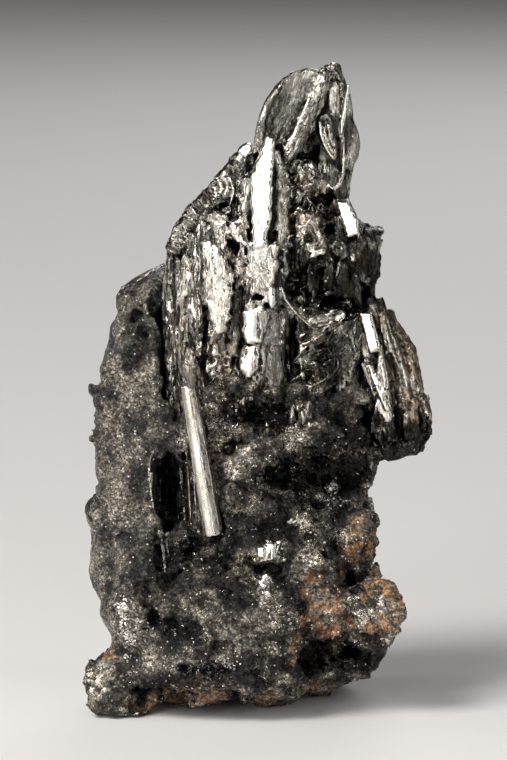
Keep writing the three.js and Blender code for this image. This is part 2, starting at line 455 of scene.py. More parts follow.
class Plate:
    """A flat or cupped flake, cut to an outline of (x, v) points on the front layout.

    facing is how far its face turns to the right and up, out how far it stands out from what
    is behind it, and y, if given, the depth of its middle instead. cup is how far its middle
    bulges (or sinks, below 0) over a rim that is core wide, ragged how rough its edge is, turn
    the slant of its streaks, and soft how often its corners are cut."""

    def __init__(self, block, outline, facing=(0, 0), out=0.2, thick=0.7, cup=0.0, polish=0.7,
                 ragged=0.06, turn=0.0, y=None, seed=0, soft=1, core=1.0):
        shape = np.array(outline, float)
        x, v = shape.mean(0)
        a, b = facing
        if y is None:
            spots = np.concatenate([(shape - (x, v)) * share for share in (0, 0.4, 0.8)])
            behind = [
                on_front(block, x + u, v + w)[1] - a * u - b * w for u, w in spots[len(shape) - 1:]
            ]
            y = np.percentile(behind, 30) - out
        self.middle = np.array([x, y, lifted(y, v)])
        tilt = math.tan(VIEW_TILT)
        rise = (shape[:, 1] - v) / math.cos(VIEW_TILT) - tilt * a * (shape[:, 0] - x)
        rise = rise / (1 + tilt * b)
        self.outline = rounded_off(np.stack([shape[:, 0], self.middle[2] + rise], 1), soft)
        self.facing = (a, b)
        self.thick = thick
        self.cup = cup
        self.polish = polish
        self.ragged = ragged
        self.turn = turn
        self.seed = seed
        self.core = core

    def distances(self, x, y, z):
        edge = outside_outline(self.outline, x, z)
        if self.ragged:
            edge = edge + self.ragged * fractal(*np.broadcast_arrays(x, y, z), 0.6, self.seed + 7, 2)
        u, w = x - self.middle[0], z - self.middle[2]
        face = self.middle[1] + self.facing[0] * u + self.facing[1] * w
        if self.cup:
            face = face - self.cup * (1 - (1 - np.clip(-edge / self.core, 0, 1)) ** 2)
        front = (face - y) * 0.9
        return np.maximum(-smooth_min(-edge, -front, 0.12), y - face - self.thick)

    def box(self):
        low, high = self.outline.min(0) - 0.3, self.outline.max(0) + 0.3
        a, b = self.facing
        reach = abs(a) * (high[0] - low[0]) + abs(b) * (high[1] - low[1]) + abs(self.cup) + 0.3
        y = self.middle[1]
        near, far = y - reach, y + self.thick + reach
        return np.array([low[0], near, low[1]]), np.array([high[0], far, high[1]])

    def roll_at(self, x, y, z):
        u, w = x - self.middle[0], z - self.middle[2]
        c, s = math.cos(self.turn), math.sin(self.turn)
        return np.stack([u * c - w * s + 31.0, y, u * s + w * c], -1)


class Strand:
    """A thin fibre or the rim of a curled sheet through (x, v) points on the front layout.

    It follows the surface, or with span it bridges from its first point to its last, or it
    runs at the depths y. deep is how far it reaches back."""

    def __init__(self, block, points, radius=0.12, out=0.05, polish=0.9, span=False, y=None, deep=1.0):
        ends = np.array(points, float)
        smooth = []
        for k in range(len(ends) - 1):
            before, after = ends[max(k - 1, 0)], ends[min(k + 2, len(ends) - 1)]
            here, following = ends[k], ends[k + 1]
            for share in (0, 0.25, 0.5, 0.75):
                bend = (following - before) * share
                bend = bend + (2 * before - 5 * here + 4 * following - after) * share**2
                bend = bend + (3 * here - before - 3 * following + after) * share**3
                smooth.append(here + 0.5 * bend)
        smooth = np.array(smooth + [ends[-1]])
        if y is None:
            held = (ends[0], ends[-1]) if span else ends
            y = [on_front(block, *place)[1] - out for place in held]
        depth = np.interp(np.linspace(0, 1, len(smooth)), np.linspace(0, 1, len(y)), y)
        self.points = np.stack([smooth[:, 0], depth, lifted(depth, smooth[:, 1])], 1)
        self.radii = np.linspace(*np.broadcast_to(radius, 2), len(smooth))
        self.polish = polish
        self.deep = deep

    def distances(self, x, y, z):
        best = FAR_AWAY
        for a, b, r in zip(self.points[:-1], self.points[1:], self.radii):
            e = b - a
            px, py, pz = x - a[0], y - a[1], z - a[2]
            share = np.clip((px * e[0] + py * e[1] + pz * e[2]) / (e @ e), 0, 1)
            rx, ry, rz = px - share * e[0], py - share * e[1], pz - share * e[2]
            ry = np.minimum(ry, 0) + np.maximum(ry - self.deep, 0)
            best = np.minimum(best, np.sqrt(rx * rx + ry * ry + rz * rz) - r)
        return best.astype(np.float32)

    def box(self):
        reach = self.radii.max() + 0.3
        high = self.points.max(0) + reach
        high[1] += self.deep
        return self.points.min(0) - reach, high

    def roll_at(self, x, y, z):
        return np.stack([x, y, z * 0.3], -1)


# ------------------------ meshes
def biggest_body(points, quads):
    """Drops crumbs that hang loose from the main body."""
    label = np.arange(len(points))
    a = quads.ravel()
    b = np.roll(quads, 1, 1).ravel()
    while True:
        low = np.minimum(label[a], label[b])
        fresh = label.copy()
        np.minimum.at(fresh, a, low)
        np.minimum.at(fresh, b, low)
        fresh = fresh[fresh]
        fresh = fresh[fresh]
        if (fresh == label).all():
            break
        label = fresh
    names, counts = np.unique(label, return_counts=True)
    keep = label == names[counts.argmax()]
    place = np.cumsum(keep) - 1
    return points[keep], place[quads[keep[quads[:, 0]]]]


def vertex_normals(points, quads):
    """Normals of the points, each from the faces round it, larger faces counting more."""
    across = points[quads[:, 2]] - points[quads[:, 0]]
    other = points[quads[:, 3]] - points[quads[:, 1]]
    faces = np.cross(across, other)
    normals = np.zeros_like(points)
    for k in range(4):
        np.add.at(normals, quads[:, k], faces)
    return normals / np.maximum(np.linalg.norm(normals, axis=1, keepdims=True), 1e-9)


def kept_close(points):
    """Draws in what stands outside the frame's own box, to less than spare millimetres past it."""
    spare = 0.25
    for axis in range(3):
        low, high = (corner[axis] / MM for corner in CAD_BOX)
        over = np.maximum(points[:, axis] - high, 0) + np.minimum(points[:, axis] - low, 0)
        points[:, axis] += spare * np.tanh(over / spare) - over
    points[:, 2] = np.maximum(points[:, 2], 0)
    return points


def mesh_piece(name, points, quads, material, node, masks, smooth=None):
    """A piece from points in millimetres, that moves with the specimen and replaces a node.

    smooth says for each point whether the faces round it are shaded smooth, as all are without it."""
    if smooth is None:
        smooth = np.ones(len(points), bool)
    mesh = bpy.data.meshes.new(name)
    mesh.vertices.add(len(points))
    mesh.vertices.foreach_set("co", (points * MM).astype(np.float32).ravel())
    mesh.loops.add(quads.size)
    mesh.loops.foreach_set("vertex_index", quads.astype(np.int32).ravel())
    mesh.polygons.add(len(quads))
    mesh.polygons.foreach_set("loop_start", np.arange(0, quads.size, 4, dtype=np.int32))
    mesh.polygons.foreach_set("use_smooth", smooth[quads].any(1))
    mesh.update(calc_edges=True)
    mesh.validate()
    for label, values in masks.items():
        kind, field = ("FLOAT_VECTOR", "vector") if values.ndim == 2 else ("FLOAT", "value")
        attribute = mesh.attributes.new(label, kind, "POINT")
        attribute.data.foreach_set(field, values.astype(np.float32).ravel())
    mesh.materials.append(material)
    piece = bpy.data.objects.new(name, mesh)
    bpy.context.scene.collection.objects.link(piece)
    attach(piece, "root")
    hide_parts(node)


# ------------------------ materials
class Tree:
    """Short ways to add nodes to a node tree and link them."""

    def __init__(self, tree):
        self.tree = tree

    def node(self, kind, inputs=None, **settings):
        node = self.tree.nodes.new(kind)
        for name, value in settings.items():
            setattr(node, name, value)
        for name, value in (inputs or {}).items():
            self.feed(node.inputs[name], value)
        return node

    def feed(self, socket, value):
        if isinstance(value, bpy.types.NodeSocket):
            self.tree.links.new(value, socket)
        else:
            socket.default_value = value

    def math(self, operation, *values):
        return self.node("ShaderNodeMath", dict(enumerate(values)), operation=operation).outputs[0]

    def times(self, one, other):
        return self.math("MULTIPLY", one, other)

    def vector(self, operation, *values):
        node = self.node("ShaderNodeVectorMath", dict(enumerate(values)), operation=operation)
        return node.outputs[0]

    def scaled(self, vector, size):
        node = self.node("ShaderNodeVectorMath", {0: vector, 3: size}, operation="SCALE")
        return node.outputs[0]

    def ramp(self, value, low, high, to_low=0.0, to_high=1.0):
        """to_low where a value is low or less, to_high where it is high or more."""
        inputs = {0: value, 1: low, 2: high, 3: to_low, 4: to_high}
        return self.node("ShaderNodeMapRange", inputs, interpolation_type="SMOOTHSTEP").outputs[0]

    def fade(self, mask, none, full):
        """none where a mask is 0, full where it is 1."""
        return self.ramp(mask, 0, 1, none, full)

    def mix(self, share, low, high):
        """A mix of two colours."""
        return self.node("ShaderNodeMix", {0: share, 6: low, 7: high}, data_type="RGBA").outputs[2]

    def noise(self, place, scale, detail=3.0, rough=0.55):
        inputs = {"Vector": place, "Scale": scale, "Detail": detail, "Roughness": rough}
        return self.node("ShaderNodeTexNoise", inputs).outputs[0]

    def blots(self, size, *noise):
        """Noise that is 0 on average, times size."""
        return self.times(self.math("SUBTRACT", self.noise(*noise), 0.5), size)

    def seams(self, *noise):
        """0 along thin crooked lines, and more beside them."""
        return self.math("ABSOLUTE", self.math("SUBTRACT", self.noise(*noise), 0.5))

    def any_way(self, colour, size):
        """A random colour as a vector that points any way, up to half of size along each axis."""
        return self.scaled(self.vector("SUBTRACT", colour, (0.5, 0.5, 0.5)), size)

    def shaken(self, place, scale, size):
        """Places that are moved at random, and smoothly, by up to half of size."""
        noise = self.node("ShaderNodeTexNoise", {"Vector": place, "Scale": scale, "Detail": 3.0})
        return self.vector("ADD", place, self.any_way(noise.outputs["Color"], size))

    def mask(self, name, output="Fac"):
        """A mask that is stored on the mesh."""
        return self.node("ShaderNodeAttribute", attribute_name=name).outputs[output]

    def bump(self, strength, distance, height, normal):
        inputs = {"Strength": strength, "Distance": distance, "Height": height, "Normal": normal}
        return self.node("ShaderNodeBump", inputs).outputs[0]

    def facets(self, place, normal, cells, tilt):
        """The outputs of the shared facet group, placed with its own values."""
        group = bpy.data.node_groups.get("grain_facets") or facet_group()
        inputs = {"Place": place, "Surface Normal": normal, "Cells per metre": cells, "Tilt": tilt}
        return self.node("ShaderNodeGroup", inputs, node_tree=group).outputs


def facet_group():
    """Tiny flat facets on a surface: each cell tilts the normal at random and has a random value."""
    group = bpy.data.node_groups.new("grain_facets", "ShaderNodeTree")
    for name, way, kind, *default in (
        ("Place", "INPUT", "NodeSocketVector"),
        ("Surface Normal", "INPUT", "NodeSocketVector"),
        ("Cells per metre", "INPUT", "NodeSocketFloat", 4000.0),
        ("Tilt", "INPUT", "NodeSocketFloat", 0.5),
        ("Normal", "OUTPUT", "NodeSocketVector"),
        ("Value", "OUTPUT", "NodeSocketFloat"),
        ("Other", "OUTPUT", "NodeSocketFloat"),
    ):
        socket = group.interface.new_socket(name, in_out=way, socket_type=kind)
        if default:
            socket.default_value = default[0]
    tree = Tree(group)
    start = tree.node("NodeGroupInput").outputs
    cells = {"Vector": start["Place"], "Scale": start["Cells per metre"]}
    luck = tree.node("ShaderNodeTexVoronoi", cells, feature="F1").outputs["Color"]
    leaning = tree.vector("ADD", start["Surface Normal"], tree.any_way(luck, start["Tilt"]))
    parts = tree.node("ShaderNodeSeparateXYZ", {0: luck}).outputs
    ends = {"Normal": tree.vector("NORMALIZE", leaning), "Value": parts[0], "Other": parts[1]}
    tree.node("NodeGroupOutput", ends)
    return group


def new_material(name):
    """An empty material, the tree of its nodes and its shader."""
    material = bpy.data.materials.new(name)
    material.use_nodes = True
    material.node_tree.nodes.clear()
    tree = Tree(material.node_tree)
    shader = tree.node("ShaderNodeBsdfPrincipled")
    tree.node("ShaderNodeOutputMaterial", {"Surface": shader.outputs[0]})
    return material, tree, shader.inputs


# Colours of what is dark, dull or thin, and the black of painted shade, which the settings leave alone.
ORE_SHADOW = (0.01, 0.01, 0.01, 1)
# the black that painted shade darkens the ore to
ORE_SHADE_BLACK = (0.004, 0.004, 0.004, 1)
ORE_EARTH = (0.26, 0.20, 0.14, 1)
ORE_SEAM = (0.55, 0.5, 0.44, 1)
METAL_SHADOW = (0.045, 0.041, 0.036, 1)
# the black that painted shade darkens the metal to
METAL_SHADE_BLACK = (0.010, 0.008, 0.006, 1)
STAIN_SHADOW = (0.09, 0.065, 0.045, 1)


def matrix_material():
    """Dark ore of flat-faced grains, with pale, rusty and glittering patches by mask, and painted shade in
    hollows, on given spots and along thin cracks.
    """
    settings = bpy.context.scene.matrix_settings
    material, tree, shader = new_material("grainy_ore")
    place = tree.node("ShaderNodeTexCoord").outputs["Object"]
    normal = tree.node("ShaderNodeNewGeometry").outputs["Normal"]
    masks = ("glitter", "pale", "rust", "broken", "crowding", "soot")
    glitter, pale, rust, broken, crowd, soot = (tree.mask(name) for name in masks)
    broad = tree.noise(place, 260.0, 5.0, 0.62)
    medium = tree.noise(place, 400.0, 2.5, 0.5)
    small = tree.noise(place, 2600.0, 4.0, 0.7)
    grainy = tree.ramp(small, 0.38, 0.62, 0.3, 1.7)
    shaken = tree.shaken(place, 900.0, 0.0012)
    # facets in two sizes: chips that tilt most where the rock is broken, and grains on them
    bump = tree.bump(1.0, tree.fade(pale, 0.0005, 0.0002), tree.noise(place, 1300.0, 6.0, 0.66), normal)
    chips = tree.facets(shaken, bump, 1900.0, tree.fade(broken, 0.25, 1.1))
    fine_tilt = tree.times(tree.fade(pale, 0.8, 0.5), tree.fade(broken, 1, 0.8))
    fine = tree.facets(place, chips["Normal"], 6500.0, fine_tilt)
    chip_tone = tree.fade(broken, 0, tree.fade(chips["Value"], -0.5, 0.6))
    dark = tree.mix(tree.ramp(broad, 0.38, 0.62), ORE_SHADOW, (*settings.ore_colour, 1))
    dark = tree.scaled(dark, tree.math("ADD", 1.0, chip_tone))
    colour = tree.mix(tree.fade(pale, 0.0, 0.85), dark, (*settings.pale_colour, 1))
    colour = tree.scaled(tree.scaled(colour, grainy), tree.fade(fine["Value"], 0.6, 1.4))
    # the luck of each grain decides whether it shines like metal
    luck = {0: tree.fade(broken, 0, 0.6), 2: fine["Other"], 3: chips["Other"]}
    luck = tree.node("ShaderNodeMix", luck, data_type="FLOAT").outputs[0]
    luck = tree.times(luck, tree.fade(pale, 1.0, 0.75))
    luck = tree.times(luck, tree.ramp(pale, 1.0, 1.6, 1.0, 0.7))
    uneven = tree.fade(broken, 0.35, 1.0)
    luck = tree.math("ADD", luck, tree.times(tree.ramp(medium, 0.38, 0.62, -0.16, 0.14), uneven))
    sheen = tree.ramp(luck, 0.26, 0.52, 0.0, 0.9)
    colour = tree.scaled(colour, tree.fade(sheen, tree.fade(broken, 1.0, 0.7), 4.0))
    patchy = tree.times(tree.ramp(medium, 0.38, 0.62, -0.72, 0.6), uneven)
    colour = tree.scaled(colour, tree.math("ADD", 1.0, patchy))
    colour = tree.scaled(colour, tree.ramp(pale, 1.0, 1.6, 1.0, 2.6))
    # rust, partly faded to earth
    blot = tree.blots(5.0, place, 1000.0, 6.0, 0.8)
    rusty = tree.ramp(tree.math("ADD", rust, blot), 0.4, 0.95, 0.0, 0.9)
    earthy = tree.ramp(tree.noise(place, 900.0, 4.0), 0.42, 0.62)
    rust_colour = tree.scaled(tree.mix(earthy, (*settings.rust_colour, 1), ORE_EARTH), grainy)
    colour = tree.mix(rusty, colour, rust_colour)
    # thin bright seams
    seam = tree.ramp(tree.seams(shaken, 420.0, 2.0), 0.002, 0.012, 1, 0)
    seam = tree.times(seam, tree.ramp(small, 0.45, 0.6))
    seam = tree.times(seam, tree.ramp(broken, 0.2, 1, 0, 0.8))
    colour = tree.mix(seam, colour, ORE_SEAM)
    sheen = tree.math("MAXIMUM", sheen, seam)
    # painted shade: darker in hollows where solid crowds round, on its own spots, and along thin crooked
    # lines that stand in for shaded cracks
    unshaded = tree.times(tree.ramp(crowd, 0.46, 0.68, 1, 0.06), tree.fade(soot, 1, 0.1))
    crack_shade_depth = tree.ramp(broken, 0.1, 0.8, 0.25, 0.8)
    crack_shade = tree.ramp(tree.seams(shaken, 800.0, 3.0), 0.004, 0.028, crack_shade_depth, 0)
    unshaded = tree.times(unshaded, tree.math("SUBTRACT", 1.0, crack_shade))
    colour = tree.mix(unshaded, ORE_SHADE_BLACK, colour)
    # single grains that shine white
    rare = tree.math("ADD", tree.fade(glitter, 0.984, 0.6), tree.fade(pale, 0, 0.012))
    bright = tree.math("GREATER_THAN", fine["Value"], rare)
    # grains in painted shade glint less
    bright = tree.times(bright, tree.ramp(unshaded, 0, 0.2, 0.3, 1.0))
    colour = tree.mix(bright, colour, (*settings.glint_colour, 1))
    metal = tree.math("MAXIMUM", bright, sheen)
    metal = tree.times(metal, tree.math("SUBTRACT", 1.0, rusty))
    rough = tree.fade(metal, 0.6, tree.fade(broken, 0.34, 0.22))
    shader["Specular IOR Level"].default_value = 0.3
    tree.feed(shader["Base Color"], colour)
    tree.feed(shader["Metallic"], metal)
    tree.feed(shader["Roughness"], tree.math("MAXIMUM", rough, tree.times(rusty, 0.7)))
    tree.feed(shader["Normal"], fine["Normal"])
    return material


def crystal_material():
    """Lead-grey metal with streaks along its roll, smoother and brighter where it is polished, and
    darkened by painted shade where solid crowds round and on the shade spots.

    It is built when it is first asked for."""
    if "rolled_metal" in bpy.data.materials:
        return bpy.data.materials["rolled_metal"]
    settings = bpy.context.scene.crystal_settings
    material, tree, shader = new_material("rolled_metal")
    place = tree.node("ShaderNodeTexCoord").outputs["Object"]
    normal = tree.node("ShaderNodeNewGeometry").outputs["Normal"]
    masks = ("polish", "soot", "crowding", "stain")
    polish, soot, crowd, stained = (tree.mask(name) for name in masks)
    shake = tree.node("ShaderNodeTexNoise", {"Vector": place, "Scale": 1400.0, "Detail": 3.0})
    shake = tree.any_way(shake.outputs["Color"], 0.5)
    roll = tree.vector("ADD", tree.mask("roll", "Vector"), shake)
    # facets in two sizes and fine lines, all drawn out along the roll
    uneven = tree.fade(polish, 1.0, 0.03)
    long, longer, longest = (
        tree.vector("MULTIPLY", roll, (MM, MM, along)) for along in (0.0003, 0.00024, 0.00005)
    )
    broad = tree.facets(long, normal, 1600.0, tree.times(uneven, 0.45))
    patch = tree.ramp(tree.noise(place, 350.0, 4.0), 0.4, 0.6)
    fine = tree.facets(longer, broad["Normal"], 5600.0, tree.times(uneven, tree.fade(patch, 0.4, 1.0)))
    lines = tree.noise(longest, 7000.0, 3.0)
    value = tree.times(tree.fade(broad["Value"], 0.25, 1.25), fine["Value"])
    value = tree.ramp(tree.math("MAXIMUM", value, polish), 0.1, 0.75)
    tint = tree.mix(tree.noise(place, 220.0), (*settings.cool_colour, 1), (*settings.warm_colour, 1))
    colour = tree.mix(value, METAL_SHADOW, tint)
    blot = tree.blots(2.5, place, 900.0, 5.0, 0.7)
    stain = tree.ramp(tree.math("ADD", stained, blot), 0.3, 1.1, 0.0, 0.85)
    colour = tree.mix(stain, colour, tree.mix(value, STAIN_SHADOW, (*settings.stain_colour, 1)))
    # painted shade: darker where solid crowds round, in hollows and between rods, and on the shade spots
    unshaded = tree.times(tree.ramp(crowd, 0.45, 0.68, 1, 0.03), tree.fade(soot, 1, 0.08))
    rough = tree.math("ADD", tree.fade(fine["Other"], 0.16, 0.34), tree.fade(stain, 0, 0.15))
    shader["Metallic"].default_value = 1.0
    tree.feed(shader["Base Color"], tree.mix(unshaded, METAL_SHADE_BLACK, colour))
    tree.feed(shader["Roughness"], rough)
    tree.feed(shader["Normal"], tree.bump(tree.fade(polish, 0.6, 0.1), 0.00012, lines, fine["Normal"]))
    return material


# ------------------------ where everything stands
def column(foot, tip, radii, seed, **more):
    """A rod given by its two ends: x across, y back and z up."""
    return dict(foot=foot, tip=tip, radii=radii, seed=seed, **more)


def rod(foot, tip, radii, seed, **more):
    """A rod given by its ends on the front layout: x across, y back and v up."""
    ends = [(x, y, lifted(y, v)) for x, y, v in (foot, tip)]
    return column(*ends, radii, seed, **more)


def plate(outline, facing, polish, out=0.2, **more):
    """A plate on the front layout, in the terms of Plate."""
    return dict(outline=outline, facing=facing, polish=polish, out=out, **more)


# The rods of the main bundle.
COLUMNS = [
    # the tall middle column with a smooth cracked sleeve, and the stout ones on its left and right
    column((-0.1, -4.7, 32.2), (1.2, -3.3, 56.2), (2.7, 3.3, 3.5, 3.3, 2.7, 2.0, 1.0), 100, relief=0.8),
    rod((1.25, -6.7, 31.6), (1.2, -6.4, 37.5), (1.2, 1.45, 1.55, 1.5, 1.45), 110, relief=0.35, polish=0.35,
        shells=0.2, lean=0.15),
    rod((0.8, -5.9, 37.6), (0.9, -5.5, 42.8), (2.2, 2.3, 2.2, 1.9), 120, relief=0.4, polish=0.3,
        cracks=((3.5, 0.3, 0.6), (4.0, 0.2, 0.3))),
    column((-4.9, -4.2, 31.6), (-4.5, -2.6, 49.4), (2.6, 3.3, 3.5, 3.5, 3.3, 2.6), 200, relief=0.9),
    column((4.4, -3.6, 30.0), (5.0, -2.3, 50.2), (2.9, 3.6, 3.8, 3.6, 3.3, 2.8), 300),
    column((8.2, -2.3, 29.8), (8.0, -1.1, 49.2), (2.0, 2.6, 2.7, 2.6, 2.1, 1.6), 400),
    # fibrous columns on the left
    column((-8.0, -3.9, 27.0), (-8.3, -2.3, 46.6), (0.9, 1.4, 1.6, 1.6, 1.1), 500, relief=0.7),
    column((-6.9, -5.4, 27.0), (-7.6, -3.9, 46.0), (0.8, 1.1, 1.2, 1.2, 0.8), 520, relief=0.6),
    column((-5.7, -6.3, 30.6), (-6.2, -4.6, 47.6), (0.7, 1.0, 1.2, 1.1, 0.8), 540, relief=0.6),
    # the left shoulder
    column((-1.9, -1.2, 43.0), (-0.9, 0.1, 55.6), (2.2, 2.2, 2.0, 1.1), 600),
    column((-3.2, -1.2, 40.9), (-2.0, 0.2, 53.2), (2.2, 2.2, 1.9, 1.0), 620),
    column((-4.7, -1.0, 39.9), (-3.4, 0.1, 51.6), (2.2, 2.2, 1.9, 1.0), 700),
    column((-5.8, -1.0, 38.9), (-4.7, -0.1, 50.2), (2.0, 2.0, 1.6, 0.9), 720),
    column((-6.8, -0.9, 38.6), (-5.8, -0.1, 48.8), (2.0, 2.0, 1.6, 1.0), 800),
    column((-7.8, -0.9, 37.4), (-7.2, -0.5, 46.8), (1.9, 1.9, 1.6, 1.0), 900),
    # the summit: a broad blade on the left and a column on the right
    column((0.5, 1.4, 44.6), (2.9, 1.7, 61.0), (3.0, 3.0, 2.8, 2.3, 1.2), 1000, relief=0.5, shells=0.2,
           lean=0.6),
    column((2.2, 1.6, 44.6), (4.4, 1.7, 62.4), (3.0, 3.0, 2.6, 2.0, 1.0), 1010, relief=0.5, shells=0.2),
    column((6.3, 0.8, 45.0), (7.3, 0.7, 64.4), (2.2, 2.2, 2.4, 2.7, 2.4, 2.1, 0.9), 1200, relief=0.5),
    # the horn on the right, and the stout columns at the back
    column((9.3, -0.9, 34.0), (10.1, -0.1, 45.2), (2.0, 2.1, 2.0, 1.8), 1300),
    column((1.7, 3.3, 26.0), (2.6, 2.7, 55.4), (4.4, 5.2, 5.0, 4.4, 3.5, 2.4), 1400),
    column((-4.3, 3.1, 27.1), (-3.1, 2.9, 47.6), (3.2, 3.9, 3.6, 2.4), 1500),
    column((7.1, 3.1, 27.1), (6.5, 2.5, 50.4), (3.0, 3.7, 3.6, 2.3), 1600),
]

# Hollows broken into the crystals: x across and v up on the front, how far in, and half sizes.
CRYSTAL_HOLLOWS = [
    (5.3, 43.0, 0.6, (2.9, 2.4, 2.5)), (7.6, 40.8, 0.8, (2.2, 1.8, 1.4)),
    (7.0, 49.6, 0.3, (0.8, 1.6, 2.0)), (6.6, 51.8, 0.2, (1.1, 1.2, 0.7)),
    (0.8, 30.2, 0.8, (3.0, 2.6, 1.9)), (-0.2, 42.0, 0.0, (1.0, 0.7, 0.4)),
    (1.4, 41.2, 0.0, (0.9, 0.6, 0.3)), (3.3, 36.6, 0.1, (0.5, 0.8, 2.2)),
    (-2.2, 47.4, 0.0, (1.1, 0.9, 0.6)), (7.0, 36.2, 0.0, (1.4, 0.7, 1.0)),
    (4.9, 35.2, 0.0, (1.0, 0.6, 1.6)), (10.3, 41.6, 0.5, (1.3, 1.6, 1.5)),
    (-2.0, 34.6, 0.0, (0.8, 0.8, 1.8)), (-5.3, 38.6, 0.0, (0.35, 0.5, 2.2)),
    (2.0, 49.0, 0.0, (0.4, 0.6, 1.8)), (5.0, 48.6, 0.0, (0.9, 0.8, 1.2)),
    (-3.3, 53.2, 0.2, (1.8, 0.8, 0.9)),
]

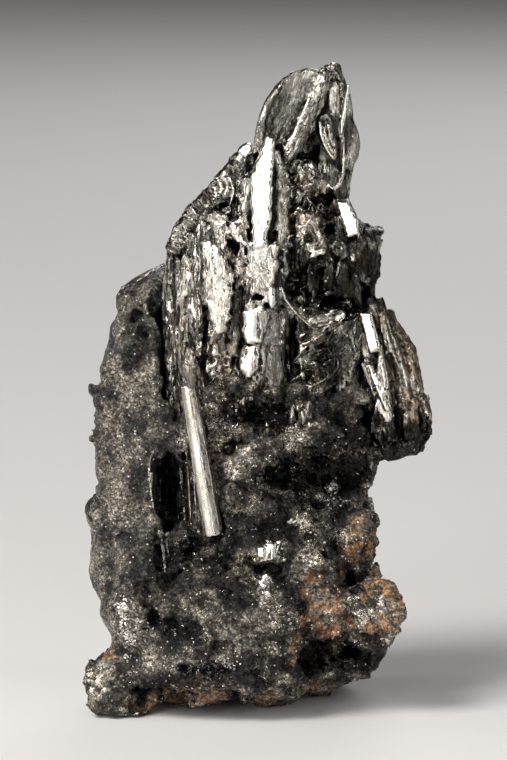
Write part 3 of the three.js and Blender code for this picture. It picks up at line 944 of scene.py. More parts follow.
# Flat and cupped faces of the main bundle: outline on the front layout, and how it sits.
MAIN_PLATES = [
    # the summit's leaf-shaped blade and its smooth left rim
    plate(((-0.5, 56.6), (-0.4, 57.8), (-0.1, 59.3), (0.5, 61.1), (1.45, 62.6), (2.6, 63.7), (4.1, 64.35),
        (5.3, 64.5), (6.3, 64.2), (6.2, 62.4), (5.2, 60.0), (4.2, 57.8), (3.0, 55.6), (1.2, 55.4)),
        (-0.08, 0.2), 0.35, y=-1.8, thick=2.2, cup=-0.5, turn=0.35, core=1.8, ragged=0.12),
    plate(((-0.5, 56.8), (-0.4, 57.8), (-0.1, 59.3), (0.5, 61.1), (1.45, 62.6), (2.6, 63.7), (2.2, 62.7),
        (1.4, 61.4), (0.8, 59.8), (0.55, 58.2), (0.5, 56.9)), (-0.3, 0.2), 0.3, y=-1.75, thick=1.4,
        cup=0.2, core=0.5, turn=0.35),
    # the ridge between the blade and the right column
    plate(((6.5, 64.7), (7.3, 64.3), (7.0, 62.8), (6.2, 60.6), (5.4, 58.6), (4.4, 57.0), (3.3, 55.6),
        (2.4, 54.4), (2.0, 55.0), (2.8, 57.4), (3.9, 59.8), (4.9, 61.8), (5.7, 63.7)), (0.0, 0.28), 0.2,
        y=-2.2, thick=2.2, cup=0.55, core=0.9, turn=0.45, ragged=0.3),
    plate(((6.9, 63.4), (7.4, 62.4), (7.1, 60.2), (6.2, 58.6), (5.8, 56.8), (4.6, 55.8), (4.0, 56.8),
        (5.0, 58.8), (5.9, 61.0)), (0.15, 0.15), 0.3, y=-1.5, thick=2.0, ragged=0.35, turn=0.4),
    # the right column's nested scoops, its faces, its pale flange and the wedge it ends in
    plate(((5.6, 59.8), (5.9, 58.0), (6.6, 56.4), (7.5, 55.2), (7.9, 56.4), (7.4, 58.4), (7.0, 60.2)),
        (0.05, 0.1), 0.5, 0.3, thick=1.2, cup=-0.5, ragged=0.1, turn=0.3),
    plate(((6.9, 55.6), (8.1, 54.4), (8.6, 53.4), (8.5, 51.8), (8.0, 51.2), (7.4, 52.0), (6.9, 53.6)),
        (0.35, -0.15), 0.6, 0.4, thick=1.4, cup=0.2),
    plate(((6.7, 62.8), (7.5, 63.6), (8.0, 62.6), (8.0, 59.6), (7.7, 57.6), (7.2, 58.6), (6.9, 60.6)),
        (0.15, 0.1), 0.6, 0.2, cup=0.3, ragged=0.1),
    plate(((8.75, 63.3), (9.0, 62.6), (8.75, 60.6), (8.35, 58.6), (8.05, 57.8), (8.0, 59.2), (8.3, 61.2)),
        (-0.22, 0.12), 0.95, 0.5),
    plate(((8.3, 57.8), (8.5, 57.6), (8.55, 55.0), (8.3, 53.6), (8.1, 54.4)), (-0.22, 0.1), 0.95, 0.5),
    plate(((8.6, 62.2), (9.1, 62.2), (9.4, 59.4), (9.2, 56.0), (8.7, 54.2), (8.5, 57.5)), (0.4, 0.1), 0.5,
        0.3, ragged=0.08),
    plate(((9.1, 60.2), (9.6, 58.8), (10.05, 57.6), (9.95, 56.4), (9.5, 55.2), (9.0, 53.6), (8.8, 56.0),
        (8.9, 58.6)), (0.25, 0.1), 0.3, y=-0.9, thick=1.8, cup=0.2),
    # the long white face down the middle
    plate(((0.7, 57.8), (1.5, 57.7), (1.5, 55.5), (1.3, 53.5), (1.25, 51.5), (1.2, 49.8), (0.9, 48.4),
        (0.5, 47.0), (-0.5, 46.8), (-0.7, 49.0), (-0.8, 51.2), (-0.8, 53.4), (-0.4, 54.8), (0.1, 56.0)),
        (-0.24, 0.25), 0.86, 1.0, thick=2.6, turn=0.12, ragged=0.15, soft=0),
    plate(((-1.2, 47.8), (0.9, 48.2), (1.9, 46.0), (1.7, 43.6), (0.2, 42.9), (-0.9, 43.4), (-1.3, 45.6)),
        (-0.24, 0.15), 0.5, 0.35, thick=1.4, ragged=0.45, cup=0.15),
    plate(((1.3, 56.6), (2.0, 56.4), (2.5, 54.6), (2.3, 53.6), (1.7, 54.4)), (0.35, 0.15), 0.9, 0.3,
        cup=0.2),
    plate(((2.1, 53.4), (2.55, 53.3), (2.4, 51.5), (1.95, 51.6)), (-0.2, 0.1), 0.9),
    plate(((1.4, 51.0), (1.9, 50.8), (2.0, 47.4), (1.5, 46.8)), (-0.25, 0.1), 0.8),
    # white faces low on the middle column
    plate(((-1.5, 40.7), (0.2, 40.9), (0.35, 39.0), (0.3, 37.5), (-1.3, 37.4), (-1.6, 38.8)), (-0.2, 0.12),
        0.85, 0.4, thick=1.4, ragged=0.15, soft=0, cup=0.12, core=1.2),
    plate(((-1.5, 37.3), (-0.1, 37.3), (0.1, 36.0), (-0.3, 34.6), (-1.2, 34.0), (-1.8, 35.2)),
        (-0.22, 0.15), 0.75, 0.4, thick=1.2, ragged=0.25, soft=0, cup=0.1, core=1.2),
    plate(((0.2, 37.2), (0.6, 37.2), (0.6, 35.0), (0.3, 34.4)), (-0.26, 0.1), 0.7, 0.2, ragged=0.1,
        soft=0),
    plate(((0.9, 43.1), (1.6, 42.9), (1.6, 41.4), (1.2, 40.8), (0.9, 41.4)), (-0.2, 0.12), 0.97, 0.6,
        ragged=0.1, soft=0),
    plate(((3.1, 37.6), (3.5, 37.5), (3.6, 34.8), (3.2, 34.8)), (-0.2, 0.1), 0.85, 0.3, soft=0),
    # small square faces in the hollow below
    plate(((1.0, 30.5), (1.75, 30.4), (1.75, 29.6), (1.0, 29.6)), (-0.15, 0.1), 0.8, 0.4),
    plate(((-1.6, 29.8), (-0.9, 29.8), (-0.9, 29.1), (-1.6, 29.0)), (-0.2, 0.1), 0.7, 0.4),
    plate(((2.9, 31.4), (3.6, 31.2), (3.7, 28.6), (3.0, 28.4)), (-0.1, 0), 0.5, 0.4, cup=0.3),
    plate(((3.9, 31.2), (4.7, 30.8), (4.6, 28.6), (3.9, 28.6)), (0.1, 0), 0.45, 0.4, cup=0.3),
    # bright leaning face below the summit column, and the horn beside it
    plate(((7.6, 51.5), (8.9, 51.4), (9.8, 49.6), (9.9, 48.3), (8.7, 47.9), (8.2, 49.6)), (-0.26, 0.12),
        0.97, 1.3, thick=2.6, turn=-0.3, ragged=0.05, soft=0),
    plate(((9.5, 49.6), (10.8, 48.8), (12.2, 48.7), (12.35, 48.2), (11.8, 47.0), (12.0, 45.8),
        (11.8, 43.4), (10.2, 42.8), (9.4, 45.0), (9.0, 47.4)), (0.3, 0.1), 0.0, y=-1.9, thick=3.2, cup=0.5,
        ragged=0.25),
    plate(((7.3, 48.2), (8.6, 47.4), (9.0, 46.2), (8.0, 45.6), (7.0, 46.6)), (0.1, 0.35), 0.5, 0.5,
        cup=0.5),
    # the left column's right flank, broken down to the middle column
    plate(((-3.1, 43.4), (-1.6, 43.8), (-1.3, 41.4), (-1.5, 38.6), (-1.9, 36.2), (-3.0, 35.8),
        (-3.3, 39.6)), (-0.12, 0.12), 0.3, 0.1, thick=1.8, ragged=0.4, cup=0.2, turn=0.05),
    # striated faces on both sides of the white one
    plate(((1.6, 54.8), (2.6, 55.2), (2.9, 52.6), (2.8, 49.4), (2.3, 47.0), (1.5, 47.4), (1.5, 51.0)),
        (0.12, 0.2), 0.4, 0.35, thick=1.6, cup=0.2, ragged=0.35, turn=0.1),
    plate(((-1.7, 53.6), (-0.8, 54.4), (-0.7, 51.6), (-0.9, 48.6), (-1.8, 48.4), (-2.0, 50.8)),
        (-0.2, 0.3), 0.35, 0.35, thick=1.4, cup=0.2, ragged=0.4, turn=0.1),
    plate(((2.3, 56.6), (3.4, 57.0), (4.6, 56.4), (4.2, 54.8), (3.0, 54.2), (2.3, 55.0)), (0.05, 0.3), 0.3,
        0.3, thick=1.6, cup=0.3, ragged=0.4, turn=0.5),
    # the knot under the summit
    plate(((3.2, 54.6), (4.6, 55.6), (5.6, 55.0), (5.9, 53.6), (5.2, 52.4), (4.0, 52.6)), (-0.1, 0.4),
        0.15, 0.6, cup=0.5, ragged=0.4),
    plate(((4.4, 55.4), (5.4, 55.5), (5.8, 54.6), (5.2, 54.1), (4.5, 54.5)), (-0.2, 0.3), 0.6, 0.6,
        thick=0.8, cup=-0.4, ragged=0.2),
    # chips round the big hollow on the right
    plate(((4.7, 45.7), (5.3, 46.5), (6.3, 47.0), (6.8, 46.8), (6.6, 46.2), (5.6, 46.0)), (-0.15, 0.45),
        0.7, 0.7, turn=1.0, ragged=0.15),
    plate(((7.0, 47.5), (8.0, 47.4), (8.4, 46.4), (7.6, 45.9), (7.0, 46.6)), (0.1, 0.3), 0.6, 0.7,
        cup=0.3),
    plate(((8.6, 46.9), (9.5, 46.5), (9.4, 45.9), (8.9, 45.8)), (-0.2, 0.2), 0.9, 0.5),
    plate(((2.9, 43.9), (3.4, 44.2), (4.1, 43.9), (3.6, 43.4)), (-0.1, 0.4), 0.8, 0.8, ragged=0.15),
    plate(((6.2, 42.3), (6.8, 42.8), (7.6, 42.7), (7.2, 42.1)), (-0.2, 0.5), 0.7, 0.6, ragged=0.12),
    plate(((4.7, 39.6), (5.4, 40.2), (7.2, 40.7), (8.6, 40.7), (8.1, 39.7), (7.2, 38.7), (6.2, 38.4),
        (5.4, 38.9)), (-0.1, 0.3), 0.55, 1.0, thick=1.2, cup=-0.3, ragged=0.2, turn=1.1),
    plate(((5.6, 38.9), (6.4, 38.5), (7.0, 38.0), (5.6, 37.5), (4.9, 37.9)), (-0.2, 0.4), 0.5, 0.8,
        ragged=0.2, turn=1.1),
    # long dark faces inside that hollow
    plate(((4.8, 46.0), (6.0, 46.4), (6.3, 44.4), (5.8, 41.6), (5.0, 42.0)), (0.55, -0.1), 0.3, 0.5,
        ragged=0.35),
    plate(((6.5, 46.2), (7.3, 45.8), (7.3, 43.8), (6.9, 42.2), (6.4, 43.6)), (0.5, -0.05), 0.3, 0.6,
        ragged=0.3),
    plate(((7.6, 45.8), (8.9, 45.0), (8.8, 43.4), (8.4, 42.2), (7.7, 43.4)), (0.5, -0.1), 0.3, 0.6,
        ragged=0.3),
    # the left column's scooped top, curled lip and bright front
    plate(((-6.2, 49.8), (-4.8, 50.4), (-3.4, 50.2), (-3.0, 48.8), (-3.4, 46.6), (-4.6, 45.8),
        (-5.8, 47.4)), (-0.22, 0.25), 0.45, 0.3, cup=-0.4, ragged=0.35),
    plate(((-3.2, 49.4), (-2.4, 49.8), (-1.5, 49.0), (-1.0, 47.6), (-1.5, 46.9), (-2.6, 47.8)),
        (-0.15, 0.55), 0.5, 0.9, thick=0.6, cup=0.3, ragged=0.15),
    plate(((-6.2, 47.6), (-3.4, 47.4), (-2.6, 44.0), (-2.8, 40.2), (-3.6, 38.0), (-4.9, 38.4),
        (-5.6, 42.4)), (-0.25, 0.14), 0.55, 0.2, thick=1.4, cup=0.3, ragged=0.45),
    plate(((-5.3, 46.0), (-4.3, 46.2), (-3.7, 44.6), (-3.8, 42.6), (-4.5, 41.6), (-5.1, 43.4)),
        (-0.26, 0.2), 0.65, 0.45, thick=1.2, cup=0.15, ragged=0.4),
    plate(((-2.6, 45.8), (-1.4, 46.0), (-1.3, 43.4), (-2.4, 42.6)), (-0.2, 0.1), 0.3, 0.3, cup=0.2,
        ragged=0.15),
    plate(((-7.5, 36.4), (-6.6, 37.0), (-6.1, 35.4), (-5.9, 34.0), (-6.3, 33.0), (-7.4, 33.0)),
        (-0.2, 0.05), 0.35, y=-8.4, thick=1.8, cup=0.3, ragged=0.3, turn=-0.15),
    plate(((-4.7, 37.2), (-4.2, 37.4), (-3.9, 36.5), (-4.5, 36.2)), (-0.2, 0.2), 0.95),
    plate(((-5.3, 36.0), (-4.9, 35.6), (-5.0, 34.4), (-5.4, 34.9)), (-0.2, 0.15), 0.95),
    # the shoulder's slope, its knob and small broken ends
    plate(((-0.7, 56.6), (-2.0, 56.5), (-3.3, 55.0), (-4.6, 53.4), (-5.8, 52.0), (-5.2, 50.6),
        (-3.0, 51.6), (-1.2, 53.4)), (-0.15, 0.55), 0.25, 0.2, thick=2.6, turn=-0.9, ragged=0.25),
    plate(((-5.2, 52.7), (-6.6, 51.2), (-7.8, 49.6), (-8.7, 48.0), (-9.2, 46.2), (-7.6, 46.4),
        (-6.2, 49.0), (-4.6, 50.8)), (-0.2, 0.5), 0.2, 0.2, thick=2.6, turn=-0.9, ragged=0.25),
    plate(((-2.2, 56.6), (-1.4, 57.2), (-0.6, 57.2), (-0.5, 56.2), (-1.8, 56.0)), (-0.26, 0.3), 0.9,
        y=-0.9, thick=2.0, cup=0.1),
    plate(((-3.8, 54.4), (-3.2, 55.0), (-2.4, 54.8), (-2.6, 53.4), (-3.4, 53.0)), (-0.1, 0.5), 0.6, 0.3,
        cup=0.2),
]

# Fibres and rims on the main bundle: (x, v) points, radius, how far out, polish and span.
MAIN_STRANDS = [
    (((6.0, 59.3), (6.2, 57.9), (6.7, 56.7), (7.3, 55.8)), 0.16, 0.4, 0.9),
    (((6.4, 58.9), (6.6, 57.8), (7.0, 56.9), (7.4, 56.2)), 0.11, 0.35, 0.9),
    (((6.9, 58.9), (7.0, 57.9), (7.3, 57.1)), 0.09, 0.3, 0.9),
    (((6.8, 53.1), (7.4, 52.8), (8.0, 53.3), (8.2, 54.2)), 0.13, 0.05, 0.95),
    (((3.0, 57.0), (4.0, 59.4), (5.0, 61.6)), (0.12, 0.2), 0.1, 0.8),
    (((3.9, 54.4), (3.95, 55.2), (4.5, 55.7), (5.1, 55.5), (5.35, 54.9)), 0.16, 0.25, 0.9),
    (((4.3, 54.5), (4.4, 55.1), (4.8, 55.2), (5.0, 54.7)), 0.12, 0.2, 0.9),
    (((3.4, 53.6), (4.2, 53.0), (5.2, 53.2), (5.9, 53.9)), 0.15, 0.15, 0.5),
    (((2.1, 42.9), (2.6, 41.8), (3.7, 40.4), (4.7, 39.5), (5.6, 38.7)), 0.1, 0.2, 1.0, True),
    (((2.7, 42.1), (3.4, 41.9), (4.1, 41.8)), 0.07, 0.05, 1.0, True),
    (((4.4, 40.9), (5.0, 40.9), (5.8, 40.7)), 0.07, 0.05, 1.0, True),
    (((7.2, 45.9), (6.9, 44.8), (6.6, 43.6)), 0.09, 0.05, 0.95, True),
    (((7.9, 45.6), (7.8, 44.9), (7.6, 44.2)), 0.09, 0.05, 0.95, True),
    (((9.5, 44.2), (9.0, 43.4), (8.6, 42.4), (8.4, 41.9)), 0.1, 0.05, 0.95, True),
    (((5.2, 44.4), (4.6, 43.2), (4.0, 43.0)), 0.09, 0.05, 0.95, True),
    (((7.9, 37.9), (6.8, 37.0), (5.6, 36.3)), 0.12, 0.2, 0.8),
    (((7.9, 35.2), (6.8, 34.2), (5.4, 33.4)), 0.14, 0.2, 0.8),
    (((7.7, 33.7), (7.0, 33.2), (6.2, 32.7)), 0.16, 0.2, 0.8),
    (((4.2, 37.4), (4.1, 35.8), (4.3, 34.2)), 0.1, 0.1, 0.9),
    (((2.85, 37.2), (2.95, 36.2), (2.9, 35.0)), 0.14, 0.1, 0.97),
    (((-2.9, 53.9), (-2.5, 52.6), (-2.9, 51.2)), 0.14, 0.3, 0.9),
    (((-3.4, 53.9), (-3.1, 53.0), (-3.4, 52.2)), 0.13, 0.3, 0.9),
    (((-3.9, 53.5), (-3.7, 52.8), (-4.0, 52.1)), 0.13, 0.3, 0.9),
    (((-4.4, 53.0), (-4.2, 52.3), (-4.5, 51.7)), 0.13, 0.3, 0.9),
    (((-6.6, 50.8), (-6.2, 50.3), (-5.6, 50.0)), 0.13, 0.3, 0.9),
    (((-6.0, 49.9), (-5.2, 50.5), (-4.0, 50.5), (-3.3, 50.0)), 0.2, 0.05, 0.8),
    (((-3.0, 48.4), (-2.2, 47.4), (-1.3, 47.2)), 0.2, 0.05, 0.7),
]

# The rods of the side bundle, which leans out on the right.
SIDE_RODS = [
    rod((12.4, -2.4, 27.6), (10.2, -2.0, 40.8), (0.9, 1.2, 1.2, 0.9), 2140, relief=0.35),
    rod((13.9, -2.4, 27.6), (10.9, -1.4, 42.4), (0.9, 1.1, 1.2, 1.1, 0.8), 2150, relief=0.35),
    rod((15.2, -1.9, 27.6), (11.6, -0.6, 42.0), (1.0, 1.2, 1.3, 1.2, 0.9), 2160, relief=0.35),
    rod((15.8, -0.9, 28.4), (12.4, 0.0, 40.6), (1.2, 1.9, 2.1, 1.0), 2170, relief=0.35),
    rod((14.0, -0.5, 26.8), (11.4, 0.4, 41.6), (2.2, 2.8, 2.5, 1.9, 1.2), 2300, relief=0.6),
    rod((12.5, 1.0, 26.6), (11.0, 1.5, 41.4), (1.9, 2.8, 2.7, 1.7), 2400),
    rod((15.0, -0.9, 26.5), (14.7, -0.7, 32.6), (1.4, 2.5, 2.6, 2.0), 2500, relief=1.2),
    # slim white ones on the front
    rod((9.8, -3.6, 33.4), (8.95, -3.0, 35.7), (0.2, 0.2), 2600, relief=0.05, polish=1.0, shells=0.05),
    rod((9.8, -3.8, 36.9), (9.45, -3.1, 39.3), (0.36, 0.38, 0.3), 2610, relief=0.15, polish=1.0,
        shells=0.1),
    rod((11.5, -4.1, 36.6), (10.65, -3.0, 40.5), (0.52, 0.54, 0.52), 2620, relief=0.06, polish=1.0,
        shells=0.05),
    rod((13.1, -4.2, 30.9), (11.2, -3.0, 35.5), (0.25, 0.4, 0.42, 0.36), 2630, relief=0.15, polish=1.0,
        shells=0.05),
    rod((11.6, -3.4, 32.0), (10.3, -3.4, 35.6), (0.3, 0.4, 0.38), 2640, relief=0.2, polish=0.8),
    rod((13.0, -2.8, 36.6), (12.0, -2.6, 40.6), (0.4, 0.42, 0.35), 2650, relief=0.6, polish=0.1),
    rod((10.7, -3.2, 36.2), (10.1, -3.1, 38.6), (0.35, 0.4, 0.3), 2660, relief=0.2, polish=0.75),
]

# Flakes on the side bundle: place (x, v), half sizes, how many, how long, slant and its spread.
SIDE_FLAKES = [
    (14.2, 35.4, 1.4, 4.0, 44, 2.0, -0.27, 0.08, 0.07), (12.2, 36.4, 0.8, 4.0, 12, 2.0, -0.25, 0.06, 0.08),
    (11.6, 31.6, 1.4, 1.6, 14, 0.7, -0.3, 0.5), (14.8, 31.6, 1.4, 1.6, 12, 0.8, -0.3, 0.6),
]

# Bright faces on the side bundle.
SIDE_PLATES = [
    plate(((9.9, 40.5), (11.15, 40.5), (12.05, 37.0), (10.95, 36.5)), (-0.26, 0.12), 0.98, 0.35, thick=1.0,
        soft=0, ragged=0.04, turn=-0.25),
    plate(((9.0, 39.2), (9.8, 39.3), (9.9, 38.0), (9.5, 36.8), (9.1, 38.0)), (-0.26, 0.12), 0.95, 0.2,
        soft=0, turn=-0.2),
    plate(((10.6, 35.6), (11.3, 35.3), (12.2, 32.9), (13.0, 30.8), (12.6, 30.7), (11.6, 32.8)),
        (-0.26, 0.12), 0.97, 0.3, thick=1.0, soft=0, ragged=0.05, turn=-0.3),
    plate(((9.4, 41.8), (9.95, 41.7), (10.0, 41.2), (9.5, 41.1)), (-0.2, 0.3), 0.98, 0.3),
]

# Fibres on the side bundle.
SIDE_STRANDS = [
    (((12.4, 40.2), (12.9, 37.6), (13.9, 35.2)), 0.1, 0.1, 0.97),
    (((12.8, 40.0), (13.3, 37.8), (14.2, 35.6)), 0.08, 0.1, 0.9),
    (((13.2, 38.6), (14.2, 35.4), (14.8, 33.0)), 0.08, 0.1, 0.9),
    (((9.2, 36.9), (9.6, 35.6), (10.4, 34.4)), 0.1, 0.1, 0.95),
]

# The lone crystal's radii are shares of its full radius.
LONE_ROD = column((-4.5, -8.0, 18.6), (-7.0, -7.7, 33.6), (1.0, 1.0, 0.98, 0.93, 0.83), 3100,
                  relief=0.08, sides=9, polish=0.88, shells=0.05, lean=0.1)

# Lumps of the matrix: x across and v up, how far in, and half sizes.
MATRIX_LUMPS = [
    (-13.0, 41.9, 0.6, (1.0, 1.4, 1.0)), (-15.6, 2.0, 0.3, (1.6, 1.4, 1.4)),
    (-14.6, 4.6, 0.4, (1.2, 1.2, 1.2)), (-16.2, 4.2, 0.4, (0.9, 1.0, 1.2)),
    (-2.6, 31.0, 0.6, (2.4, 1.6, 1.6)), (-4.8, 29.4, 0.8, (1.6, 1.4, 1.6)),
    (5.4, 29.0, 0.4, (3.0, 2.0, 1.2)), (2.4, 27.6, 0.4, (2.6, 2.0, 1.2)),
    (-1.0, 25.6, 0.3, (2.6, 1.8, 1.6)), (-2.0, 22.0, 0.5, (1.8, 1.6, 1.6)),
    (8.6, 28.0, 0.5, (2.2, 1.8, 1.6)), (9.4, 18.2, 0.4, (2.4, 2.2, 3.0)),
    (-3.4, 12.6, 0.7, (4.6, 2.2, 2.6)), (1.6, 10.6, 1.2, (3.0, 2.0, 2.6)),
    (11.4, 10.6, 0.6, (3.2, 2.4, 3.2)), (6.0, 11.6, 0.4, (2.6, 1.6, 2.2)),
    (-13.4, 30.0, 0.8, (3.0, 1.6, 6.0)), (-13.4, 20.0, 0.8, (2.6, 1.6, 4.6)),
    (-12.6, 11.4, 0.8, (2.2, 1.4, 3.6)), (-2.0, 4.6, 1.0, (5.0, 1.8, 1.6)),
]

# Hollows of the matrix, in the same form.
MATRIX_HOLLOWS = [
    (-9.1, 23.4, 0.2, (1.3, 3.0, 4.2)), (-7.5, 23.0, 0.0, (1.2, 1.6, 4.6)),
    (-9.4, 16.4, 0.2, (1.2, 1.4, 3.2)), (-11.4, 12.6, 0.0, (0.3, 0.5, 2.2)),
    (-10.2, 10.0, 0.3, (0.9, 0.9, 0.9)), (-14.9, 40.9, 0.0, (0.9, 4.0, 1.3)),
    (2.0, 15.2, 0.5, (1.6, 1.2, 0.8)), (1.2, 30.8, 0.9, (3.5, 3.0, 1.7)),
    (3.0, 24.3, 0.8, (2.8, 3.0, 1.9)), (6.2, 24.6, 0.8, (2.6, 3.0, 2.4)),
    (9.0, 24.0, 0.8, (2.0, 2.4, 2.8)), (4.4, 21.8, 0.2, (3.4, 2.0, 1.0)),
    (-6.0, 17.6, 0.3, (1.3, 1.0, 1.0)), (-3.6, 16.2, 0.2, (1.4, 1.0, 0.7)),
    (-6.8, 19.4, 0.2, (1.2, 1.0, 0.9)), (-8.6, 9.2, 0.2, (1.2, 1.2, 0.9)),
    (7.0, 6.2, 0.6, (3.8, 2.4, 2.2)), (11.0, 5.8, 1.2, (2.8, 2.2, 1.6)), (9.0, 13.8, 0.6, (0.8, 1.4, 1.6)),
    (-9.8, 2.1, 0.1, (3.2, 2.2, 2.0)), (-4.0, 5.0, 0.2, (2.6, 1.0, 0.5)),
    (-12.2, 40.6, 0.0, (0.9, 1.0, 0.8)), (-11.4, 38.9, 0.0, (0.7, 0.9, 0.7)),
    (-13.0, 38.6, 0.0, (0.6, 0.8, 0.5)), (-10.0, 41.0, 0.2, (1.0, 1.2, 1.8)),
    (-9.0, 37.0, 0.3, (0.7, 1.4, 5.6)),
]

# Crust of the matrix over the feet of the crystals: x across, y back, v up, and half sizes.
CRUST = [
    (0.2, -7.2, 32.5, (1.2, 1.2, 0.8)), (1.8, -7.4, 32.1, (1.2, 1.1, 0.8)),
    (3.4, -6.4, 32.6, (1.4, 1.4, 1.0)), (-1.4, -6.8, 33.3, (1.1, 1.2, 0.9)),
    (-3.2, -6.6, 33.6, (1.3, 1.3, 1.1)), (-4.6, -6.4, 32.6, (1.2, 1.2, 1.0)),
    (5.4, -5.4, 32.4, (1.5, 1.4, 1.0)),
]

# Fibres and thin walls in the matrix, most of them in the empty mould left of the lone crystal.
MATRIX_STRANDS = [
    (((-9.8, 26.2), (-9.9, 24.0), (-9.9, 21.0)), 0.07, 0.1, 0.5),
    (((-9.2, 26.8), (-9.2, 24.0), (-9.3, 20.4)), 0.07, 0.1, 0.5),
    (((-8.6, 26.8), (-8.6, 24.0), (-8.6, 20.4)), 0.06, 0.1, 0.5),
    (((-8.1, 26.4), (-8.0, 23.6), (-8.0, 20.0)), 0.08, 0.1, 0.5),
    (((-7.2, 27.0), (-7.0, 24.0), (-6.8, 20.2)), 0.08, 0.1, 0.5),
    (((-6.7, 26.6), (-6.4, 23.6), (-6.2, 19.8)), 0.07, 0.1, 0.5),
    (((-9.8, 18.8), (-9.6, 17.6), (-9.4, 16.2), (-9.3, 14.9)), (0.32, 0.14), 0.1, 0.4),
    (((-9.1, 18.6), (-9.1, 17.6), (-8.9, 16.4)), (0.26, 0.1), 0.1, 0.3),
    (((-10.3, 27.2), (-10.8, 25.8), (-10.9, 23.8)), (0.1, 0.14), 0.1, 0.3),
    (((-10.6, 24.6), (-10.7, 22.8), (-10.4, 20.8)), (0.14, 0.1), 0.1, 0.3),
    (((-7.9, 27.6), (-7.8, 25.2), (-7.7, 22.8)), (0.3, 0.2), 0.2, 0.2),
    (((-7.6, 22.4), (-7.4, 20.8), (-7.3, 19.4)), (0.2, 0.16), 0.2, 0.2),
    (((-4.7, 25.0), (-4.3, 22.8), (-4.3, 20.6)), (0.1, 0.2), 0.15, 0.6),
    (((-4.4, 19.6), (-4.0, 19.0), (-3.6, 18.6)), 0.14, 0.15, 0.6),
    (((-13.7, 43.0), (-12.4, 43.6), (-11.0, 44.5), (-9.6, 45.4)), 0.16, 0.05, 0.4),
]

# Flakes on the main bundle, in the form of SIDE_FLAKES and perhaps with how slim they are.
FLAKES = [
    (6.0, 37.2, 2.4, 1.6, 26, 2.4, 1.0, 0.25, 0.12), (5.6, 34.0, 2.6, 1.8, 24, 2.0, 0.95, 0.3, 0.12),
    (3.6, 38.6, 0.8, 3.0, 10, 2.0, 0.1, 0.2, 0.15), (-3.6, 43.4, 1.8, 2.6, 22, 1.3, 0.05, 0.25),
    (-3.8, 47.6, 2.0, 1.8, 14, 1.0, 0.1, 0.5), (-7.6, 40.0, 1.2, 5.0, 26, 2.6, -0.02, 0.06, 0.12),
    (-6.2, 35.6, 0.8, 3.2, 16, 2.0, -0.1, 0.1, 0.12), (0.2, 46.0, 1.8, 1.6, 12, 1.0, 0.1, 0.5),
    (3.4, 48.6, 1.4, 2.4, 16, 1.1, 0.2, 0.8, 0.25), (5.2, 50.6, 2.0, 1.4, 18, 1.0, 0.5, 0.9, 0.25),
    (4.6, 53.6, 1.2, 1.4, 16, 1.0, 0.5, 0.9, 0.25), (6.0, 47.6, 1.6, 1.2, 12, 1.0, 0.9, 0.6, 0.2),
    (9.4, 45.0, 1.6, 2.0, 10, 0.7, 0.3, 0.8, 0.25), (10.6, 46.0, 1.2, 2.4, 10, 0.5, 0.0, 1.0),
    (-4.8, 51.2, 2.0, 1.0, 12, 0.8, 0.9, 0.4), (-2.4, 54.6, 1.4, 1.2, 8, 0.8, 0.9, 0.4),
    (2.6, 61.0, 1.4, 1.6, 12, 0.6, 0.5, 0.8), (-3.4, 34.8, 2.2, 1.6, 14, 0.9, 0.7, 0.6),
]

# Rims of torn, curled sheets on the crystals: place (x, v), half sizes, how many and how large.
CURLS = [
    (4.5, 54.4, 1.0, 1.0, 7, 0.7), (4.2, 51.4, 1.6, 1.2, 9, 0.6), (3.8, 48.6, 1.4, 1.2, 6, 0.55),
    (-2.6, 48.6, 1.4, 1.0, 5, 0.6), (-4.0, 51.0, 1.6, 0.8, 5, 0.5), (6.4, 46.6, 1.6, 0.8, 5, 0.5),
    (6.2, 38.0, 1.8, 1.2, 8, 0.8), (5.8, 34.8, 1.8, 1.2, 7, 0.7), (-3.4, 35.2, 1.6, 1.4, 8, 0.5),
    (-3.0, 33.4, 1.6, 0.8, 5, 0.4), (-6.6, 35.4, 0.8, 1.4, 5, 0.5), (-0.6, 44.6, 1.2, 1.2, 4, 0.5),
    (8.8, 46.4, 0.8, 0.8, 3, 0.5),
]

# Clusters of small bright faces in the matrix: place (x, v), half sizes, how many, how large.
CLUSTERS = [
    (0.9, 17.0, 0.7, 0.5, 6, 1.0), (-3.4, 31.4, 1.6, 1.6, 16, 0.22), (-1.6, 24.6, 1.2, 2.0, 10, 0.2),
    (-6.0, 15.8, 2.4, 1.6, 12, 0.18), (0.9, 17.2, 1.2, 0.9, 10, 0.45), (0.5, 13.4, 0.3, 0.8, 4, 0.6),
    (0.5, 13.6, 0.5, 1.2, 7, 0.35), (3.7, 20.0, 0.7, 0.3, 7, 0.3), (7.3, 23.0, 0.5, 0.3, 5, 0.32),
    (8.4, 21.9, 0.9, 0.3, 7, 0.22), (5.6, 18.0, 1.6, 0.9, 9, 0.2), (-13.4, 11.3, 0.35, 1.0, 9, 0.36),
    (-12.9, 7.4, 0.5, 0.9, 7, 0.26), (10.1, 10.4, 0.3, 0.4, 4, 0.3), (-4.4, 6.0, 2.4, 0.25, 8, 0.22),
    (-9.6, 10.0, 1.6, 1.6, 8, 0.18), (3.0, 9.4, 1.4, 2.4, 12, 0.2), (-8.5, 5.4, 1.6, 1.0, 6, 0.2),
    (2.0, 29.6, 2.6, 0.7, 8, 0.25), (-3.0, 27.6, 2.0, 1.6, 10, 0.2), (1.2, 30.2, 0.5, 0.9, 4, 0.4),
]
